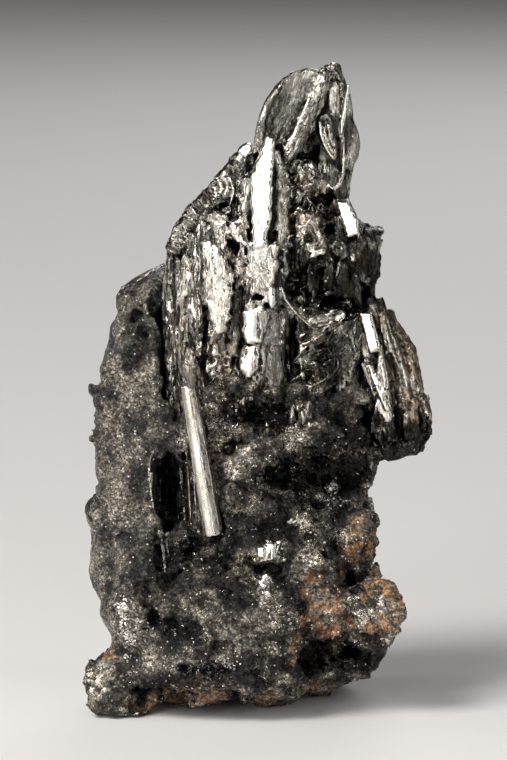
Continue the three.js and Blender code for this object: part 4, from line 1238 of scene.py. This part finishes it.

# Where shade is painted on the crystals, darkening them: place (x, v), half sizes and strength.
SHADE_SPOTS = [
    (5.6, 43.4, 3.2, 3.2, 1.0), (7.8, 44.0, 2.2, 3.0, 0.9), (10.9, 44.8, 1.8, 3.0, 1.0),
    (7.0, 49.6, 0.9, 2.0, 1.0), (6.4, 36.4, 3.4, 3.4, 0.9), (3.4, 38.0, 1.0, 4.0, 0.8),
    (-4.6, 52.6, 3.2, 1.6, 0.7), (-2.6, 54.6, 2.0, 1.2, 0.7), (-5.8, 50.8, 1.8, 1.2, 0.8),
    (-3.0, 51.0, 2.4, 1.8, 0.3), (5.3, 56.2, 0.8, 2.6, 0.9), (8.0, 51.8, 2.0, 1.0, 1.0),
    (15.0, 27.4, 3.8, 3.2, 1.0), (11.0, 29.5, 2.6, 2.2, 0.9), (10.6, 42.0, 1.6, 1.2, 0.9),
    (-8.4, 44.0, 0.7, 3.0, 0.7), (-7.6, 38.0, 1.6, 7.0, 0.5), (2.0, 60.4, 1.6, 2.6, 0.6),
    (7.6, 58.6, 1.4, 3.4, 0.85), (7.9, 53.2, 1.0, 2.0, 0.8), (1.6, 34.8, 1.5, 2.6, 0.6),
    (-6.9, 32.4, 1.6, 3.0, 0.45), (-5.4, 24.0, 0.6, 3.0, 0.3), (-9.3, 16.8, 1.2, 2.8, 0.5),
    (-2.6, 38.0, 1.0, 2.4, 0.4), (1.4, 32.6, 2.4, 1.0, 0.9), (6.3, 58.0, 0.7, 2.2, 0.7),
    (-8.2, 38.0, 0.8, 7.0, 0.6), (-7.0, 35.0, 1.0, 1.8, 0.5), (11.0, 33.4, 1.0, 1.6, 0.5),
    (14.2, 36.6, 1.6, 4.6, 0.38), (-8.0, 49.0, 2.0, 2.0, 0.4),
]

# Where the crystals are stained brown.
STAIN_SPOTS = [
    (14.4, 37.4, 1.8, 4.2, 1.15), (13.2, 40.4, 1.2, 1.6, 0.9), (15.4, 32.2, 1.8, 3.0, 1.0),
    (4.6, 53.4, 1.8, 1.6, 0.6), (4.4, 50.0, 2.4, 2.4, 0.65), (10.8, 47.0, 1.6, 2.0, 0.5),
    (-3.6, 36.4, 2.4, 2.2, 0.7), (-7.6, 36.0, 1.6, 8.0, 0.5), (6.2, 38.0, 2.2, 1.8, 0.6),
    (5.8, 34.4, 2.8, 2.6, 0.6), (6.4, 63.4, 1.2, 1.6, 0.5), (-3.6, 43.0, 2.4, 5.0, 0.3),
    (-6.6, 30.6, 0.8, 3.6, 0.5),
]

# Where shade is painted on the matrix, darkening it.
ORE_SHADE_SPOTS = [
    (-13.6, 21.0, 3.4, 6.0, 0.12), (-13.6, 32.0, 3.6, 5.0, 0.1), (-11.6, 3.2, 0.7, 1.7, 0.8),
    (15.0, 26.8, 3.6, 2.0, 0.8), (6.8, 21.0, 3.4, 1.7, 0.75), (-5.4, 29.0, 1.4, 1.4, 0.4),
    (-6.8, 15.4, 4.6, 2.4, 0.8), (-2.8, 18.4, 1.4, 3.4, 0.7), (-11.8, 22.0, 1.2, 8.0, 0.35),
    (-12.4, 41.0, 3.6, 4.0, 0.5), (-16.0, 27.0, 1.4, 3.4, 0.4), (-13.6, 17.6, 3.4, 5.0, 0.35),
    (8.4, 14.6, 0.8, 2.6, 0.7), (5.0, 7.6, 2.0, 1.6, 0.6), (2.6, 20.2, 2.4, 1.6, 0.5),
    (6.4, 27.2, 2.0, 1.2, 0.5), (1.0, 25.0, 0.8, 2.0, 0.4), (-11.4, 3.4, 2.0, 1.2, 0.5),
    (1.2, 31.0, 3.5, 2.0, 1.1), (1.2, 29.2, 2.4, 1.2, 0.7), (6.0, 32.0, 2.6, 1.4, 0.85),
    (5.4, 24.2, 4.4, 2.6, 1.0), (9.4, 24.4, 2.0, 3.0, 0.9), (-9.0, 23.4, 1.6, 4.4, 1.0),
    (-7.4, 22.6, 1.4, 4.4, 0.9), (-9.2, 16.0, 1.4, 3.2, 0.7), (-5.6, 17.8, 3.6, 1.8, 0.6),
    (0.6, 19.6, 3.4, 2.6, 0.75), (-4.4, 14.0, 4.2, 2.2, 0.75), (-2.6, 5.4, 5.4, 2.0, 0.8),
    (3.0, 13.0, 1.6, 3.4, 0.4), (-5.6, 9.6, 2.6, 1.0, 0.4), (4.0, 18.6, 3.6, 2.4, 0.6),
    (-8.0, 8.8, 2.4, 1.4, 0.8), (-10.6, 12.0, 0.9, 4.4, 0.7), (7.4, 6.0, 4.2, 2.6, 0.72),
    (11.6, 5.6, 2.8, 1.8, 0.75), (-10.0, 4.0, 3.4, 0.7, 0.9), (-0.8, 5.2, 4.4, 1.0, 0.6),
    (2.6, 9.0, 1.8, 3.0, 0.6), (9.2, 13.8, 1.0, 1.6, 0.9), (4.8, 12.0, 0.7, 0.6, 0.7),
    (-12.0, 39.6, 2.6, 2.4, 0.55), (-9.6, 40.0, 1.2, 5.0, 0.9), (-9.2, 33.0, 1.0, 5.0, 0.7),
    (11.0, 28.0, 3.4, 2.0, 0.6),
]

# Orange veins in the matrix: how wide, and the (x, v) points they run through.
RUST_VEINS = [
    (0.5, ((6.1, 11.6), (7.2, 11.6), (8.1, 10.8), (8.1, 9.6), (7.2, 8.8), (6.0, 9.0), (5.5, 10.2),
     (6.1, 11.6))),
    (0.55, ((6.2, 14.2), (5.4, 14.5), (4.8, 13.8), (4.7, 12.6), (5.2, 11.4), (4.4, 10.0), (3.9, 8.6),
     (3.5, 7.2), (3.4, 6.0))),
    (0.7, ((8.3, 9.6), (9.6, 9.9), (11.0, 9.4), (12.4, 9.2), (13.2, 10.2), (13.6, 11.6), (13.0, 13.0),
     (11.8, 14.2), (10.8, 13.8))),
    (0.6, ((10.2, 20.4), (9.6, 19.0), (10.2, 17.6), (9.0, 16.8), (8.4, 15.6), (9.4, 15.0))),
    (0.5, ((11.2, 18.4), (10.8, 16.6), (9.8, 15.8))),
    (0.5, ((7.9, 14.4), (7.2, 13.2), (8.0, 12.2))),
]

# Where the matrix is rusty. A spot without a strength is a full one.
RUST_SPOTS = [
    (9.6, 17.6, 1.6, 2.8, 0.45), (12.2, 11.6, 2.0, 2.8, 0.5), (6.6, 12.6, 2.2, 1.8, 0.35),
    (-4.9, 2.2, 1.6, 0.9), (-9.0, 1.6, 3.4, 1.6, 0.75), (-7.4, 3.2, 1.6, 1.2, 0.6), (0.4, 2.0, 1.4, 0.8),
    (-14.8, 6.6, 0.8, 0.8), (5.0, 3.4, 1.0, 0.8),
]

# Where the matrix is paler. Above 1 it is lighter still and glitters less.
PALE_SPOTS = [
    (-15.2, 3.4, 2.0, 3.4, 1.45), (-14.6, 7.0, 1.2, 1.6, 1.0), (9.6, 18.6, 1.8, 3.0, 0.5),
    (12.6, 11.4, 2.2, 3.0, 1.0), (-2.4, 9.8, 3.8, 2.8, 0.55), (-8.0, 6.8, 4.0, 1.4, 0.5),
    (4.0, 16.2, 2.6, 1.6, 0.9), (7.0, 10.8, 3.4, 1.6, 0.7), (-3.0, 26.6, 1.8, 2.0, 0.7),
    (-1.2, 28.4, 1.8, 1.4, 0.6), (4.4, 29.2, 1.9, 1.4, 1.0), (0.6, 26.4, 1.2, 2.0, 0.4),
    (-14.0, 30.0, 3.6, 5.0, 0.1), (-13.8, 20.0, 2.4, 5.0, 0.05), (-11.4, 40.0, 2.6, 2.6, 0.2),
    (-2.8, 2.2, 3.6, 1.1, 0.5), (-12.6, 2.2, 1.6, 1.6, 0.8), (-1.9, 24.9, 1.5, 2.6, 1.3),
    (-3.6, 32.2, 2.2, 2.2, 1.0), (0.5, 27.2, 1.2, 1.6, 0.8), (-12.4, 9.4, 2.0, 3.0, 0.5),
    (4.0, 26.8, 3.4, 1.4, 0.3),
]

# Where the rock is broken into sharp little faces and ledges.
RUGGED_SPOTS = [
    (4.0, 24.0, 6.0, 4.0), (8.6, 27.0, 4.0, 3.0), (-3.6, 30.4, 3.2, 4.6), (-1.6, 22.0, 4.0, 4.0, 0.8),
    (5.0, 18.0, 4.6, 3.0, 0.8), (7.0, 8.0, 6.4, 5.4), (11.0, 14.6, 3.0, 5.0), (-5.6, 17.4, 4.0, 2.6),
    (-6.0, 8.6, 5.0, 3.4, 0.6), (2.4, 11.0, 2.0, 5.0, 0.7), (-2.0, 3.0, 8.0, 2.6, 0.8),
    (-15.4, 3.2, 3.0, 3.6, 0.9), (0.0, 30.0, 6.0, 2.4), (-2.0, 14.0, 5.0, 3.0, 0.8),
]

# Where many grains of the matrix shine.
GLITTER_SPOTS = [
    (1.0, 17.0, 1.0, 0.9), (0.6, 13.6, 0.7, 1.3), (3.9, 20.0, 0.8, 0.5), (7.4, 23.0, 0.6, 0.6),
    (7.8, 21.8, 1.0, 0.5), (-13.4, 11.2, 0.7, 1.4), (-13.0, 7.6, 0.6, 1.2), (10.2, 10.4, 0.5, 0.6),
    (-5.0, 5.4, 2.4, 0.5),
]

BEFORE_LONE_ROD = 3  # millimetres in front of the lone rod that are cleared of ore
# The heights up to which, roughly, ore fills the gaps inside the crystals' solids.
FILLED_TO = {"main_crystal_bundle": 32.0, "side_crystal_bundle": 27.0, "lone_crystal": 32.0}


# ------------------------ the pieces
def node_block(node, voxel):
    """A block that holds a frame node's solid."""
    low, high = (np.array(corner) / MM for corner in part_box(node))
    block = Block(low - BAND, high + BAND, voxel)
    block.distance = solid_of(node, block)
    return block


def shape_masks(points, shapes):
    """For each point, its place along the nearest shape's streaks, and that shape's polish and
    distance."""
    best = np.full(len(points), FAR_AWAY)
    roll = points * (1, 1, 0.5)
    polish = np.zeros(len(points))
    x, y, z = (points[:, k].astype(np.float32) for k in range(3))
    for shape in shapes:
        low, high = shape.box()
        inside = np.nonzero(((points > low) & (points < high)).all(1))[0]
        if not len(inside):
            continue
        far = np.abs(shape.distances(x[inside], y[inside], z[inside]))
        nearer = far < best[inside]
        chosen = inside[nearer]
        best[chosen] = far[nearer]
        roll[chosen] = shape.roll_at(x[chosen], y[chosen], z[chosen])
        polish[chosen] = shape.polish
    return roll, polish, best


def in_front(normals):
    """1 on what faces the front, 0 on what is turned away."""
    return ramp(-normals[:, 1], -0.35, 0.1)


def dab(points, normals, spots, seed, spread=0.35):
    """A mask on what faces the front, painted by soft spots.

    Each spot is its place (x, v), half sizes and strength, which is 1 where it isn't given."""
    x, y, z = points.T
    v = seen_height(y, z)
    wander = 0.6 * fractal(x, y, z, 1.5, seed, 4, 0.65)
    mask = np.zeros(len(points))
    for across, up, wide, high, *strength in spots:
        far = np.hypot((x - across) / wide, (v - up) / high) + wander
        full = 1 - ramp(far, 1 - spread, 1 + spread)
        mask = np.maximum(mask, strength[0] * full if strength else full)
    return mask * in_front(normals)


def veins(points, normals, lines, seed):
    """A mask from 0 to 1 on what faces the front, along crooked lines."""
    x, y, z = points.T
    v = seen_height(y, z)
    stray = 0.5 * fractal(x, y, z, 1.2, seed, 3, 0.6)
    mask = np.zeros(len(points))
    for width, line in lines:
        for (ax, av), (bx, bv) in zip(line, line[1:]):
            ex, ev = bx - ax, bv - av
            share = np.clip(((x - ax) * ex + (v - av) * ev) / (ex * ex + ev * ev), 0, 1)
            far = np.hypot(x - ax - share * ex, v - av - share * ev) / width
            mask = np.maximum(mask, 1 - ramp(far + stray, 0.5, 1.6))
    return mask * in_front(normals)


def stain_and_shade(points, normals, spots, seed, polish):
    """A mask painted by spots on all of a crystal but its polished faces: a real stain, or painted shade.
    """
    return dab(points, normals, spots, seed, 0.5) * (polish < 0.9)


def crystal_piece(names, node, rods, voxel, core=0.6, hollows=(), split=(), plates=(), strands=(),
                  scattered=(), curled=()):
    """A bundle of rolled rods with plates and strands on its front, as one piece or several.

    core is how far the frame's solid is worn in under the rods."""
    block = node_block(node, voxel)
    block.soften(2)
    block.distance += core
    shapes = [Rod(**spec) for spec in rods]
    block.join(shapes)
    for k, (x, v, sink, half) in enumerate(hollows):
        block.cut(*ball(on_front(block, x, v, sink), half, 0.4, 300 + 5 * k, 1.0))
    details = [Plate(block, seed=40 * k, **spec) for k, spec in enumerate(plates)]
    for k, spec in enumerate(scattered):
        details += flakes(block, *spec, seed=170 + k)
    block.join(details)
    fibres = [Strand(block, *spec) for spec in strands]
    for k, spec in enumerate(curled):
        fibres += curls(block, *spec, seed=470 + k)
    block.join(fibres)
    shapes += details + fibres
    # how crowded each voxel is, by which the material paints shade
    crowding = block.crowding(1.0)

    def finish(points, normals):
        roll, polish, far = shape_masks(points, shapes)
        x, y, z = points.T
        broken = ramp(far, 0.1, 0.3)
        slope, _ = grains(x, y, z, 0.5, 77)
        push = (0.04 * noise(x, y, z, 0.3, 78) + broken * 0.5 * slope) * (1 - polish)
        masks = {
            "roll": roll,
            "polish": polish,
            # how crowded each point is and the spots for painted shade; the stain below is real
            "crowding": crowding.sample(*points.T),
            "soot": stain_and_shade(points, normals, SHADE_SPOTS, 990, polish),
            "stain": stain_and_shade(points, normals, STAIN_SPOTS, 1050, polish),
        }
        return push, masks

    sliced_pieces(block, names, split, finish, node, crystal_material())


def sliced_pieces(block, names, split, finish, node, material):
    """Meshes a block as pieces that overlap a little at the split heights.

    finish gives the relief of the points and their masks."""
    lap = 0.2  # millimetres that a piece reaches past a split height
    whole = block.distance
    z = block.everywhere()[1][2]
    levels = [-FAR_AWAY, *split, FAR_AWAY]
    for name, low, high in zip(names, levels, levels[1:]):
        block.distance = np.maximum(whole, np.maximum(low - lap - z, z - high - lap))
        points, quads = biggest_body(*block.skin())
        normals = vertex_normals(points, quads)
        push, masks = finish(points, normals)
        capped = (points[:, 2] < low - lap / 2) | (points[:, 2] > high + lap / 2)
        push[capped] = 0
        points = kept_close(points + normals * push[:, None])
        mesh_piece(name, points, quads, material, node, masks)
    block.distance = whole


def fine_piece(name, node, crowding, shapes, voxel):
    """Plates and strands that stand in the surface of another piece, as a piece of their own."""
    low = np.min([shape.box()[0] for shape in shapes], 0)
    high = np.max([shape.box()[1] for shape in shapes], 0)
    block = Block(low, high, voxel)
    block.join(shapes)
    points, quads = block.skin()
    normals = vertex_normals(points, quads)
    roll, polish, _ = shape_masks(points, shapes)
    x, y, z = points.T
    rough = (1 - polish) * (polish < 0.9)
    slope, _ = grains(x, y, z, (0.4, 0.4, 0.7), 177)
    push = rough * (0.25 * slope + 0.04 * noise(x, y, z, 0.22, 178))
    points = kept_close(points + normals * push[:, None])
    shade = crowding.sample(*(points + normals * 0.3).T)
    masks = {
        "roll": roll,
        "polish": polish,
        # how crowded each point is, a little out from it, and the spots for painted shade
        "crowding": shade * 0.9,
        "soot": stain_and_shade(points, normals, SHADE_SPOTS, 990, polish),
        "stain": 0 * polish,
    }
    mesh_piece(name, points, quads, crystal_material(), node, masks, polish > 0.4)


def rock_relief(x, y, z):
    """Broken rock: broad humps with angular faces and small ledges, and hollows at the back."""
    slope, depth = grains(x, y, z, (2.4, 2.4, 2.0), 51)
    behind = ramp(y + noise(x, y, z, 4.0, 57) * 2, 2.0, 5.0) * ramp(z, 40, 34)
    rugged = np.maximum(ramp(x + noise(x, y, z, 4.0, 55) * 2, -10, -5), behind)
    smaller, ledge = grains(x, y, z, (1.3, 1.3, 1.0), 61)
    smooth_part = -0.4 * fractal(x, y, z, 3.2, 5, 2, 0.4)
    hollows = behind * ramp(fractal(x, y, z, (5.0, 5.0, 6.5), 71, 2, 0.5), -0.3, 0.5)
    angular = 0.6 * slope + 0.3 * depth + 0.5 * smaller + 0.16 * ledge
    return smooth_part + rugged * angular + 1.1 * hollows


def lone_rod():
    """The lone crystal's rod, with its radii in millimetres."""
    radius = in_mm(bpy.context.scene.crystal_settings.lone_radius)
    spec = dict(LONE_ROD)
    spec["radii"] = [share * radius for share in spec["radii"]]
    return spec


def matrix_piece():
    """Sculpts the matrix, and returns its block and how crowded each voxel is by solid ones."""
    settings = bpy.context.scene.matrix_settings
    split = in_mm(settings.split_height)
    block = node_block("matrix", in_mm(settings.grain))
    _, (x, y, z) = block.everywhere()
    for node, level in FILLED_TO.items():
        top = level + 2.0 * noise(*np.broadcast_arrays(x, y, z), 2.4, 60)
        filler = np.maximum(solid_of(node, block) + 0.1, z - top)
        block.distance = np.minimum(block.distance, filler)
    block.soften(3)
    block.wear(rock_relief)
    block.soften(1)
    for k, (x, v, sink, half) in enumerate(MATRIX_LUMPS):
        block.add(*ball(on_front(block, x, v, sink), half, 0.5, 500 + 5 * k, 1.3), blend=0.8)
    for k, (x, v, sink, half) in enumerate(MATRIX_HOLLOWS):
        block.cut(*ball(on_front(block, x, v, sink), half, 0.7, 700 + 5 * k, 1.5), blend=0.2)
    for k, (x, y, v, half) in enumerate(CRUST):
        block.add(*ball((x, y, lifted(y, v)), half, 0.6, 600 + 5 * k, 0.9), blend=0.5)
    lone = Rod(**lone_rod())
    low, high = lone.box()
    low[1] -= BEFORE_LONE_ROD
    block.cut(low, high, lone.channel)
    # how crowded each voxel is, by which the material paints shade
    crowding = block.crowding(1.0, 2.6)

    def finish(points, normals):
        x, y, z = points.T
        coarse, _ = grains(x, y, z, 1.1, 11)
        slope, _ = grains(x, y, z, 0.5, 21)
        behind = ramp(normals[:, 1], 0.0, 0.4)
        broken_back = behind * ramp(noise(x, y, z, 4.5, 43), -0.15, 0.2)
        rusty_back = behind * ramp(fractal(x, y, z, 4.0, 47, 3, 0.6), 0.2, 0.5)
        rugged = np.maximum(dab(points, normals, RUGGED_SPOTS, 1020, 0.6), broken_back)
        rough = 0.2 + 0.2 * ramp(noise(x, y, z, 3.0, 41), -0.3, 0.4) + rugged
        push = 0.3 * coarse + 0.15 * slope + 0.06 * noise(x, y, z, 0.4, 31)
        push = push * rough * settings.relief
        painted = dab(points, normals, RUST_SPOTS, 900)
        lined = veins(points, normals, RUST_VEINS, 910)
        masks = {
            # how crowded each point is, by which the material paints shade
            "crowding": crowding.sample(*points.T),
            "rust": np.maximum.reduce([painted, lined, 0.6 * rusty_back]),
            "pale": dab(points, normals, PALE_SPOTS, 930, 0.6),
            "glitter": dab(points, normals, GLITTER_SPOTS, 960, 0.5),
            # spots where shade is painted
            "soot": dab(points, normals, ORE_SHADE_SPOTS, 980, 0.5),
            "broken": np.clip(rugged, 0, 1),
        }
        return push, masks

    names = ("matrix_foot", "matrix_upper")
    sliced_pieces(block, names, (split,), finish, "matrix", matrix_material())
    return block, crowding


def flakes(block, x, v, wide, high, count, long, turn, spread, slim=0.35, *, seed):
    """Narrow flakes scattered round a place on the front, all slanting about the same way.

    slim is their breadth over their length. Those that would hang clear of the edge are left out."""
    rng = np.random.default_rng(seed)
    plates = []
    for k in range(count):
        across, up = x + wide * rng.uniform(-1, 1), v + high * rng.uniform(-1, 1)
        if not stands(block, across, up):
            continue
        slant = turn + spread * rng.normal()
        half = 0.5 * long * rng.uniform(0.5, 1.3)
        broad = half * slim * rng.uniform(0.6, 1.4)
        along = np.array((math.sin(slant), math.cos(slant)))
        aside = np.array((along[1], -along[0]))
        corners = (along * half, aside * broad, -along * half * 0.9, -aside * broad * rng.uniform(0.3, 1))
        outline = [(across + a, up + b) for a, b in corners]
        face = (rng.normal(-0.15, 0.35), rng.normal(0.15, 0.25))
        looks = dict(out=0.25, thick=0.6, polish=0.85, ragged=0, soft=0, turn=slant)
        plates.append(Plate(block, outline, face, seed=k, **looks))
    return plates


def curls(block, x, v, wide, high, count, size, seed):
    """Thin arcs scattered round a place on the front, like the rims of torn, rolled-up sheets."""
    rng = np.random.default_rng(seed)
    strands = []
    for _ in range(count):
        across, up = x + wide * rng.uniform(-1, 1), v + high * rng.uniform(-1, 1)
        start, sweep = rng.uniform(0, 2 * math.pi), rng.uniform(1.2, 2.8)
        reach = size * rng.uniform(0.6, 1.2)
        squash = rng.uniform(0.4, 0.9)
        lean = rng.normal(0, 0.6)
        points = []
        for share in (0, 0.33, 0.67, 1):
            a = start + sweep * share
            u, w = reach * squash * math.cos(a), reach * math.sin(a)
            points.append((across + u * math.cos(lean) + w * math.sin(lean),
                           up - u * math.sin(lean) + w * math.cos(lean)))
        if not all(stands(block, *point) for point in points):
            continue
        depth = float(np.median([on_front(block, *point)[1] for point in points])) - 0.15
        thick = rng.uniform(0.09, 0.15)
        radii = (thick, thick * 0.6)
        strands.append(Strand(block, points, radii, polish=0.7, y=[depth] * 4, deep=0.7))
    return strands


def cluster(block, x, v, wide, high, count, size, seed):
    """Small flat faces at odd angles, scattered round a place on the front."""
    rng = np.random.default_rng(seed)
    plates = []
    for k in range(count):
        across, up = x + wide * rng.normal() * 0.6, v + high * rng.normal() * 0.6
        turn = rng.uniform(0, math.pi)
        long, short = size * rng.uniform(0.6, 1.3), size * rng.uniform(0.4, 0.9)
        corners = [
            (math.cos(turn + a) * r, math.sin(turn + a) * r)
            for a, r in ((0, long), (1.3, short), (2.9, long), (4.4, short))
        ]
        outline = [(across + a, up + b) for a, b in corners]
        facing = (rng.normal(-0.25, 0.15), rng.normal(0.15, 0.2))
        looks = dict(out=0.12, thick=0.6, polish=0.97, ragged=0, soft=0)
        plates.append(Plate(block, outline, facing, seed=k, **looks))
    return plates


# ------------------------ the stage
def softbox(name, place, target, size, power, colour=(1, 1, 1)):
    """A soft rectangular light that shines from place to target."""
    light = bpy.data.lights.new(name, "AREA")
    light.shape = "RECTANGLE"
    light.size, light.size_y = size
    light.energy = power
    light.color = colour
    lamp = bpy.data.objects.new(name, light)
    lamp.location = place
    direction = Vector(target) - Vector(place)
    lamp.rotation_euler = direction.to_track_quat("-Z", "Y").to_euler()
    bpy.context.scene.collection.objects.link(lamp)


def build_stage(settings):
    """The world, the floor, the lights and the camera."""
    scene = bpy.context.scene
    world = bpy.data.worlds.new("studio")
    scene.world = world
    world.use_nodes = True
    background = world.node_tree.nodes["Background"].inputs
    background["Color"].default_value = (0.9, 0.95, 1.0, 1)
    background["Strength"].default_value = 0.03
    floor_mesh = bpy.data.meshes.new("floor")
    half = settings.floor_size / 2
    floor_mesh.from_pydata(
        [(-half, -half, 0), (half, -half, 0), (half, half, 0), (-half, half, 0)], [], [(0, 1, 2, 3)]
    )
    floor = bpy.data.objects.new("floor", floor_mesh)
    material, _, shader = new_material("pale_floor")
    shader["Base Color"].default_value = (*settings.floor_colour, 1)
    shader["Roughness"].default_value = 0.8
    floor_mesh.materials.append(material)
    scene.collection.objects.link(floor)
    middle = (-0.0004, 0, 0.03275)
    front = (0, 0, 0.04)
    softbox("key_light", (-0.36, -0.24, 0.48), middle, (0.24, 0.24), settings.key_power, (1.0, 0.97, 0.93))
    softbox("strip_light", (-0.09, -0.155, 0.085), (-0.012, 0, 0.04), (0.03, 0.18), 0.16)
    softbox("low_light", (0.075, -0.165, 0.07), front, (0.022, 0.14), 0.07)
    softbox("left_light", (-0.55, 0.05, 0.12), middle, (0.14, 0.36), 0.9)
    softbox("right_light", (0.5, -0.12, 0.22), middle, (0.12, 0.4), 0.4)
    softbox("back_light", (0.15, 0.5, 0.35), middle, (0.4, 0.3), 1.2)
    camera = bpy.data.cameras.new("camera")
    camera.sensor_width = 36
    half_height = 0.038  # half of the height that the camera takes in, in metres
    camera.lens = camera.sensor_width / 2 * settings.distance / half_height
    view = bpy.data.objects.new("camera", camera)
    tilt = settings.elevation
    aim = Vector((-0.00055, 0, 0.03275))
    view.location = aim + settings.distance * Vector((0, -math.cos(tilt), math.sin(tilt)))
    view.rotation_euler = (math.radians(90) - tilt, 0, 0)
    camera.clip_start = 0.01
    scene.collection.objects.link(view)
    scene.camera = view
    scene.view_settings.view_transform = "Standard"


# ------------------------ the add-on
def in_mm(length):
    """A length of the settings in millimetres."""
    return round(length / MM, 4)


def length_setting(name, description, default):
    """A length in metres."""
    return FloatProperty(
        name=name, description=description, default=default, min=0, precision=5, subtype="DISTANCE",
        unit="LENGTH"
    )


def colour_setting(name, description, default):
    """A colour without its alpha."""
    return FloatVectorProperty(
        name=name, description=description, default=default, min=0, max=1, size=3, subtype="COLOR"
    )


class MatrixSettings(bpy.types.PropertyGroup):
    """Sizes and colours of the matrix."""

    grain: length_setting("Grain", "Voxel size that the matrix is sculpted with", 0.26 * MM)
    glint_grain: length_setting("Glint grain", "Voxel size of the small bright faces", 0.11 * MM)
    split_height: length_setting("Split height", "Where the matrix's two pieces meet", 19 * MM)
    relief: FloatProperty(
        name="Relief", description="How deep the finest relief is", default=1, min=0, subtype="FACTOR"
    )
    ore_colour: colour_setting("Ore", "Ore between the pale patches", (0.10, 0.09, 0.075))
    pale_colour: colour_setting("Pale ore", "Pale patches of the ore", (0.125, 0.113, 0.094))
    rust_colour: colour_setting("Rust", "Orange rust in the ore", (0.30, 0.15, 0.06))
    glint_colour: colour_setting("Glints", "Small shining grains", (0.76, 0.73, 0.68))


class CrystalSettings(bpy.types.PropertyGroup):
    """Sizes and colours of the crystals."""

    grain: length_setting("Grain", "Voxel size that the bundles are sculpted with", 0.15 * MM)
    lone_grain: length_setting("Lone grain", "Voxel size of the lone crystal", 0.12 * MM)
    lone_radius: length_setting("Lone radius", "Radius of the lone crystal at its foot", 1.02 * MM)
    cool_colour: colour_setting("Cool metal", "The cooler tint of the metal", (0.54, 0.55, 0.50))
    warm_colour: colour_setting("Warm metal", "The warmer tint of the metal", (0.72, 0.64, 0.56))
    stain_colour: colour_setting("Stain", "Tan stain on the metal", (0.48, 0.38, 0.28))


class StageSettings(bpy.types.PropertyGroup):
    """The floor, the key light and the camera."""

    floor_size: length_setting("Floor size", "Width of the floor", 6)
    floor_colour: colour_setting("Floor", "Colour of the floor", (0.62, 0.61, 0.6))
    key_power: FloatProperty(
        name="Key light", description="Power of the key light", default=4.6, min=0, unit="POWER"
    )
    distance: length_setting("Distance", "From the camera to the specimen", 0.5)
    elevation: FloatProperty(
        name="Elevation", description="How far up the camera stands", default=VIEW_TILT, subtype="ANGLE",
        unit="ROTATION"
    )


class SPECIMEN_OT_stage(bpy.types.Operator):
    """Sets up the floor, the lights and the camera"""

    bl_idname = "specimen.stage"
    bl_label = "Stage"

    def execute(self, context):
        build_stage(context.scene.stage_settings)
        return {"FINISHED"}


class SPECIMEN_OT_matrix(bpy.types.Operator):
    """Sculpts the dark, grainy matrix and the small bright faces in it"""

    bl_idname = "specimen.matrix"
    bl_label = "Matrix"

    def execute(self, context):
        block, crowding = matrix_piece()
        shapes = [Strand(block, *spec) for spec in MATRIX_STRANDS]
        for k, spec in enumerate(CLUSTERS):
            shapes += cluster(block, *spec, seed=70 + k)
        grain = in_mm(context.scene.matrix_settings.glint_grain)
        fine_piece("matrix_glints", "matrix", crowding, shapes, grain)
        return {"FINISHED"}


class SPECIMEN_OT_main_bundle(bpy.types.Operator):
    """Sculpts the main bundle of rolled crystals"""

    bl_idname = "specimen.main_bundle"
    bl_label = "Main crystal bundle"

    def execute(self, context):
        crystal_piece(
            ("main_columns", "main_middle", "main_summit"), "main_crystal_bundle", COLUMNS,
            in_mm(context.scene.crystal_settings.grain), hollows=CRYSTAL_HOLLOWS, split=(36.5, 45.0),
            plates=MAIN_PLATES, strands=MAIN_STRANDS, scattered=FLAKES, curled=CURLS,
        )
        return {"FINISHED"}


class SPECIMEN_OT_side_bundle(bpy.types.Operator):
    """Sculpts the smaller bundle on the right"""

    bl_idname = "specimen.side_bundle"
    bl_label = "Side crystal bundle"

    def execute(self, context):
        crystal_piece(
            ("side_crystals",), "side_crystal_bundle", SIDE_RODS,
            in_mm(context.scene.crystal_settings.grain), core=0.9, plates=SIDE_PLATES,
            strands=SIDE_STRANDS, scattered=SIDE_FLAKES,
        )
        return {"FINISHED"}


class SPECIMEN_OT_lone_crystal(bpy.types.Operator):
    """Sculpts the single polished crystal in the front of the matrix"""

    bl_idname = "specimen.lone_crystal"
    bl_label = "Lone crystal"

    def execute(self, context):
        crystal_piece(
            ("polished_rod",), "lone_crystal", [lone_rod()],
            in_mm(context.scene.crystal_settings.lone_grain), core=0.2,
        )
        return {"FINISHED"}


class SPECIMEN_PT_sidebar(bpy.types.Panel):
    """Lists the settings and the pieces"""

    bl_idname = "SPECIMEN_PT_sidebar"
    bl_label = "Cylindrite specimen"
    bl_space_type = "VIEW_3D"
    bl_region_type = "UI"
    bl_category = "Specimen"

    def draw(self, context):
        for owner, (_, *operators) in SIDEBAR.items():
            box = self.layout.box()
            settings = getattr(context.scene, owner)
            for name in settings.__annotations__:
                box.prop(settings, name)
            for operator in operators:
                box.operator(operator.bl_idname)


# Each group of settings as the scene names it, its class, and the operators that it is for.
SIDEBAR = {
    "stage_settings": (StageSettings, SPECIMEN_OT_stage),
    "matrix_settings": (MatrixSettings, SPECIMEN_OT_matrix),
    "crystal_settings": (CrystalSettings, SPECIMEN_OT_main_bundle, SPECIMEN_OT_side_bundle,
                         SPECIMEN_OT_lone_crystal),
}
CLASSES = (*(one for row in SIDEBAR.values() for one in row), SPECIMEN_PT_sidebar)


def register():
    for one in CLASSES:
        bpy.utils.register_class(one)
    for name, (group, *_) in SIDEBAR.items():
        setattr(bpy.types.Scene, name, PointerProperty(type=group))


def unregister():
    for name in SIDEBAR:
        delattr(bpy.types.Scene, name)
    for one in reversed(CLASSES):
        bpy.utils.unregister_class(one)


def main():
    register()
    bpy.ops.specimen.stage()
    bpy.ops.specimen.matrix()
    bpy.ops.specimen.main_bundle()
    bpy.ops.specimen.side_bundle()
    bpy.ops.specimen.lone_crystal()


if __name__ == "__main__":
    main()
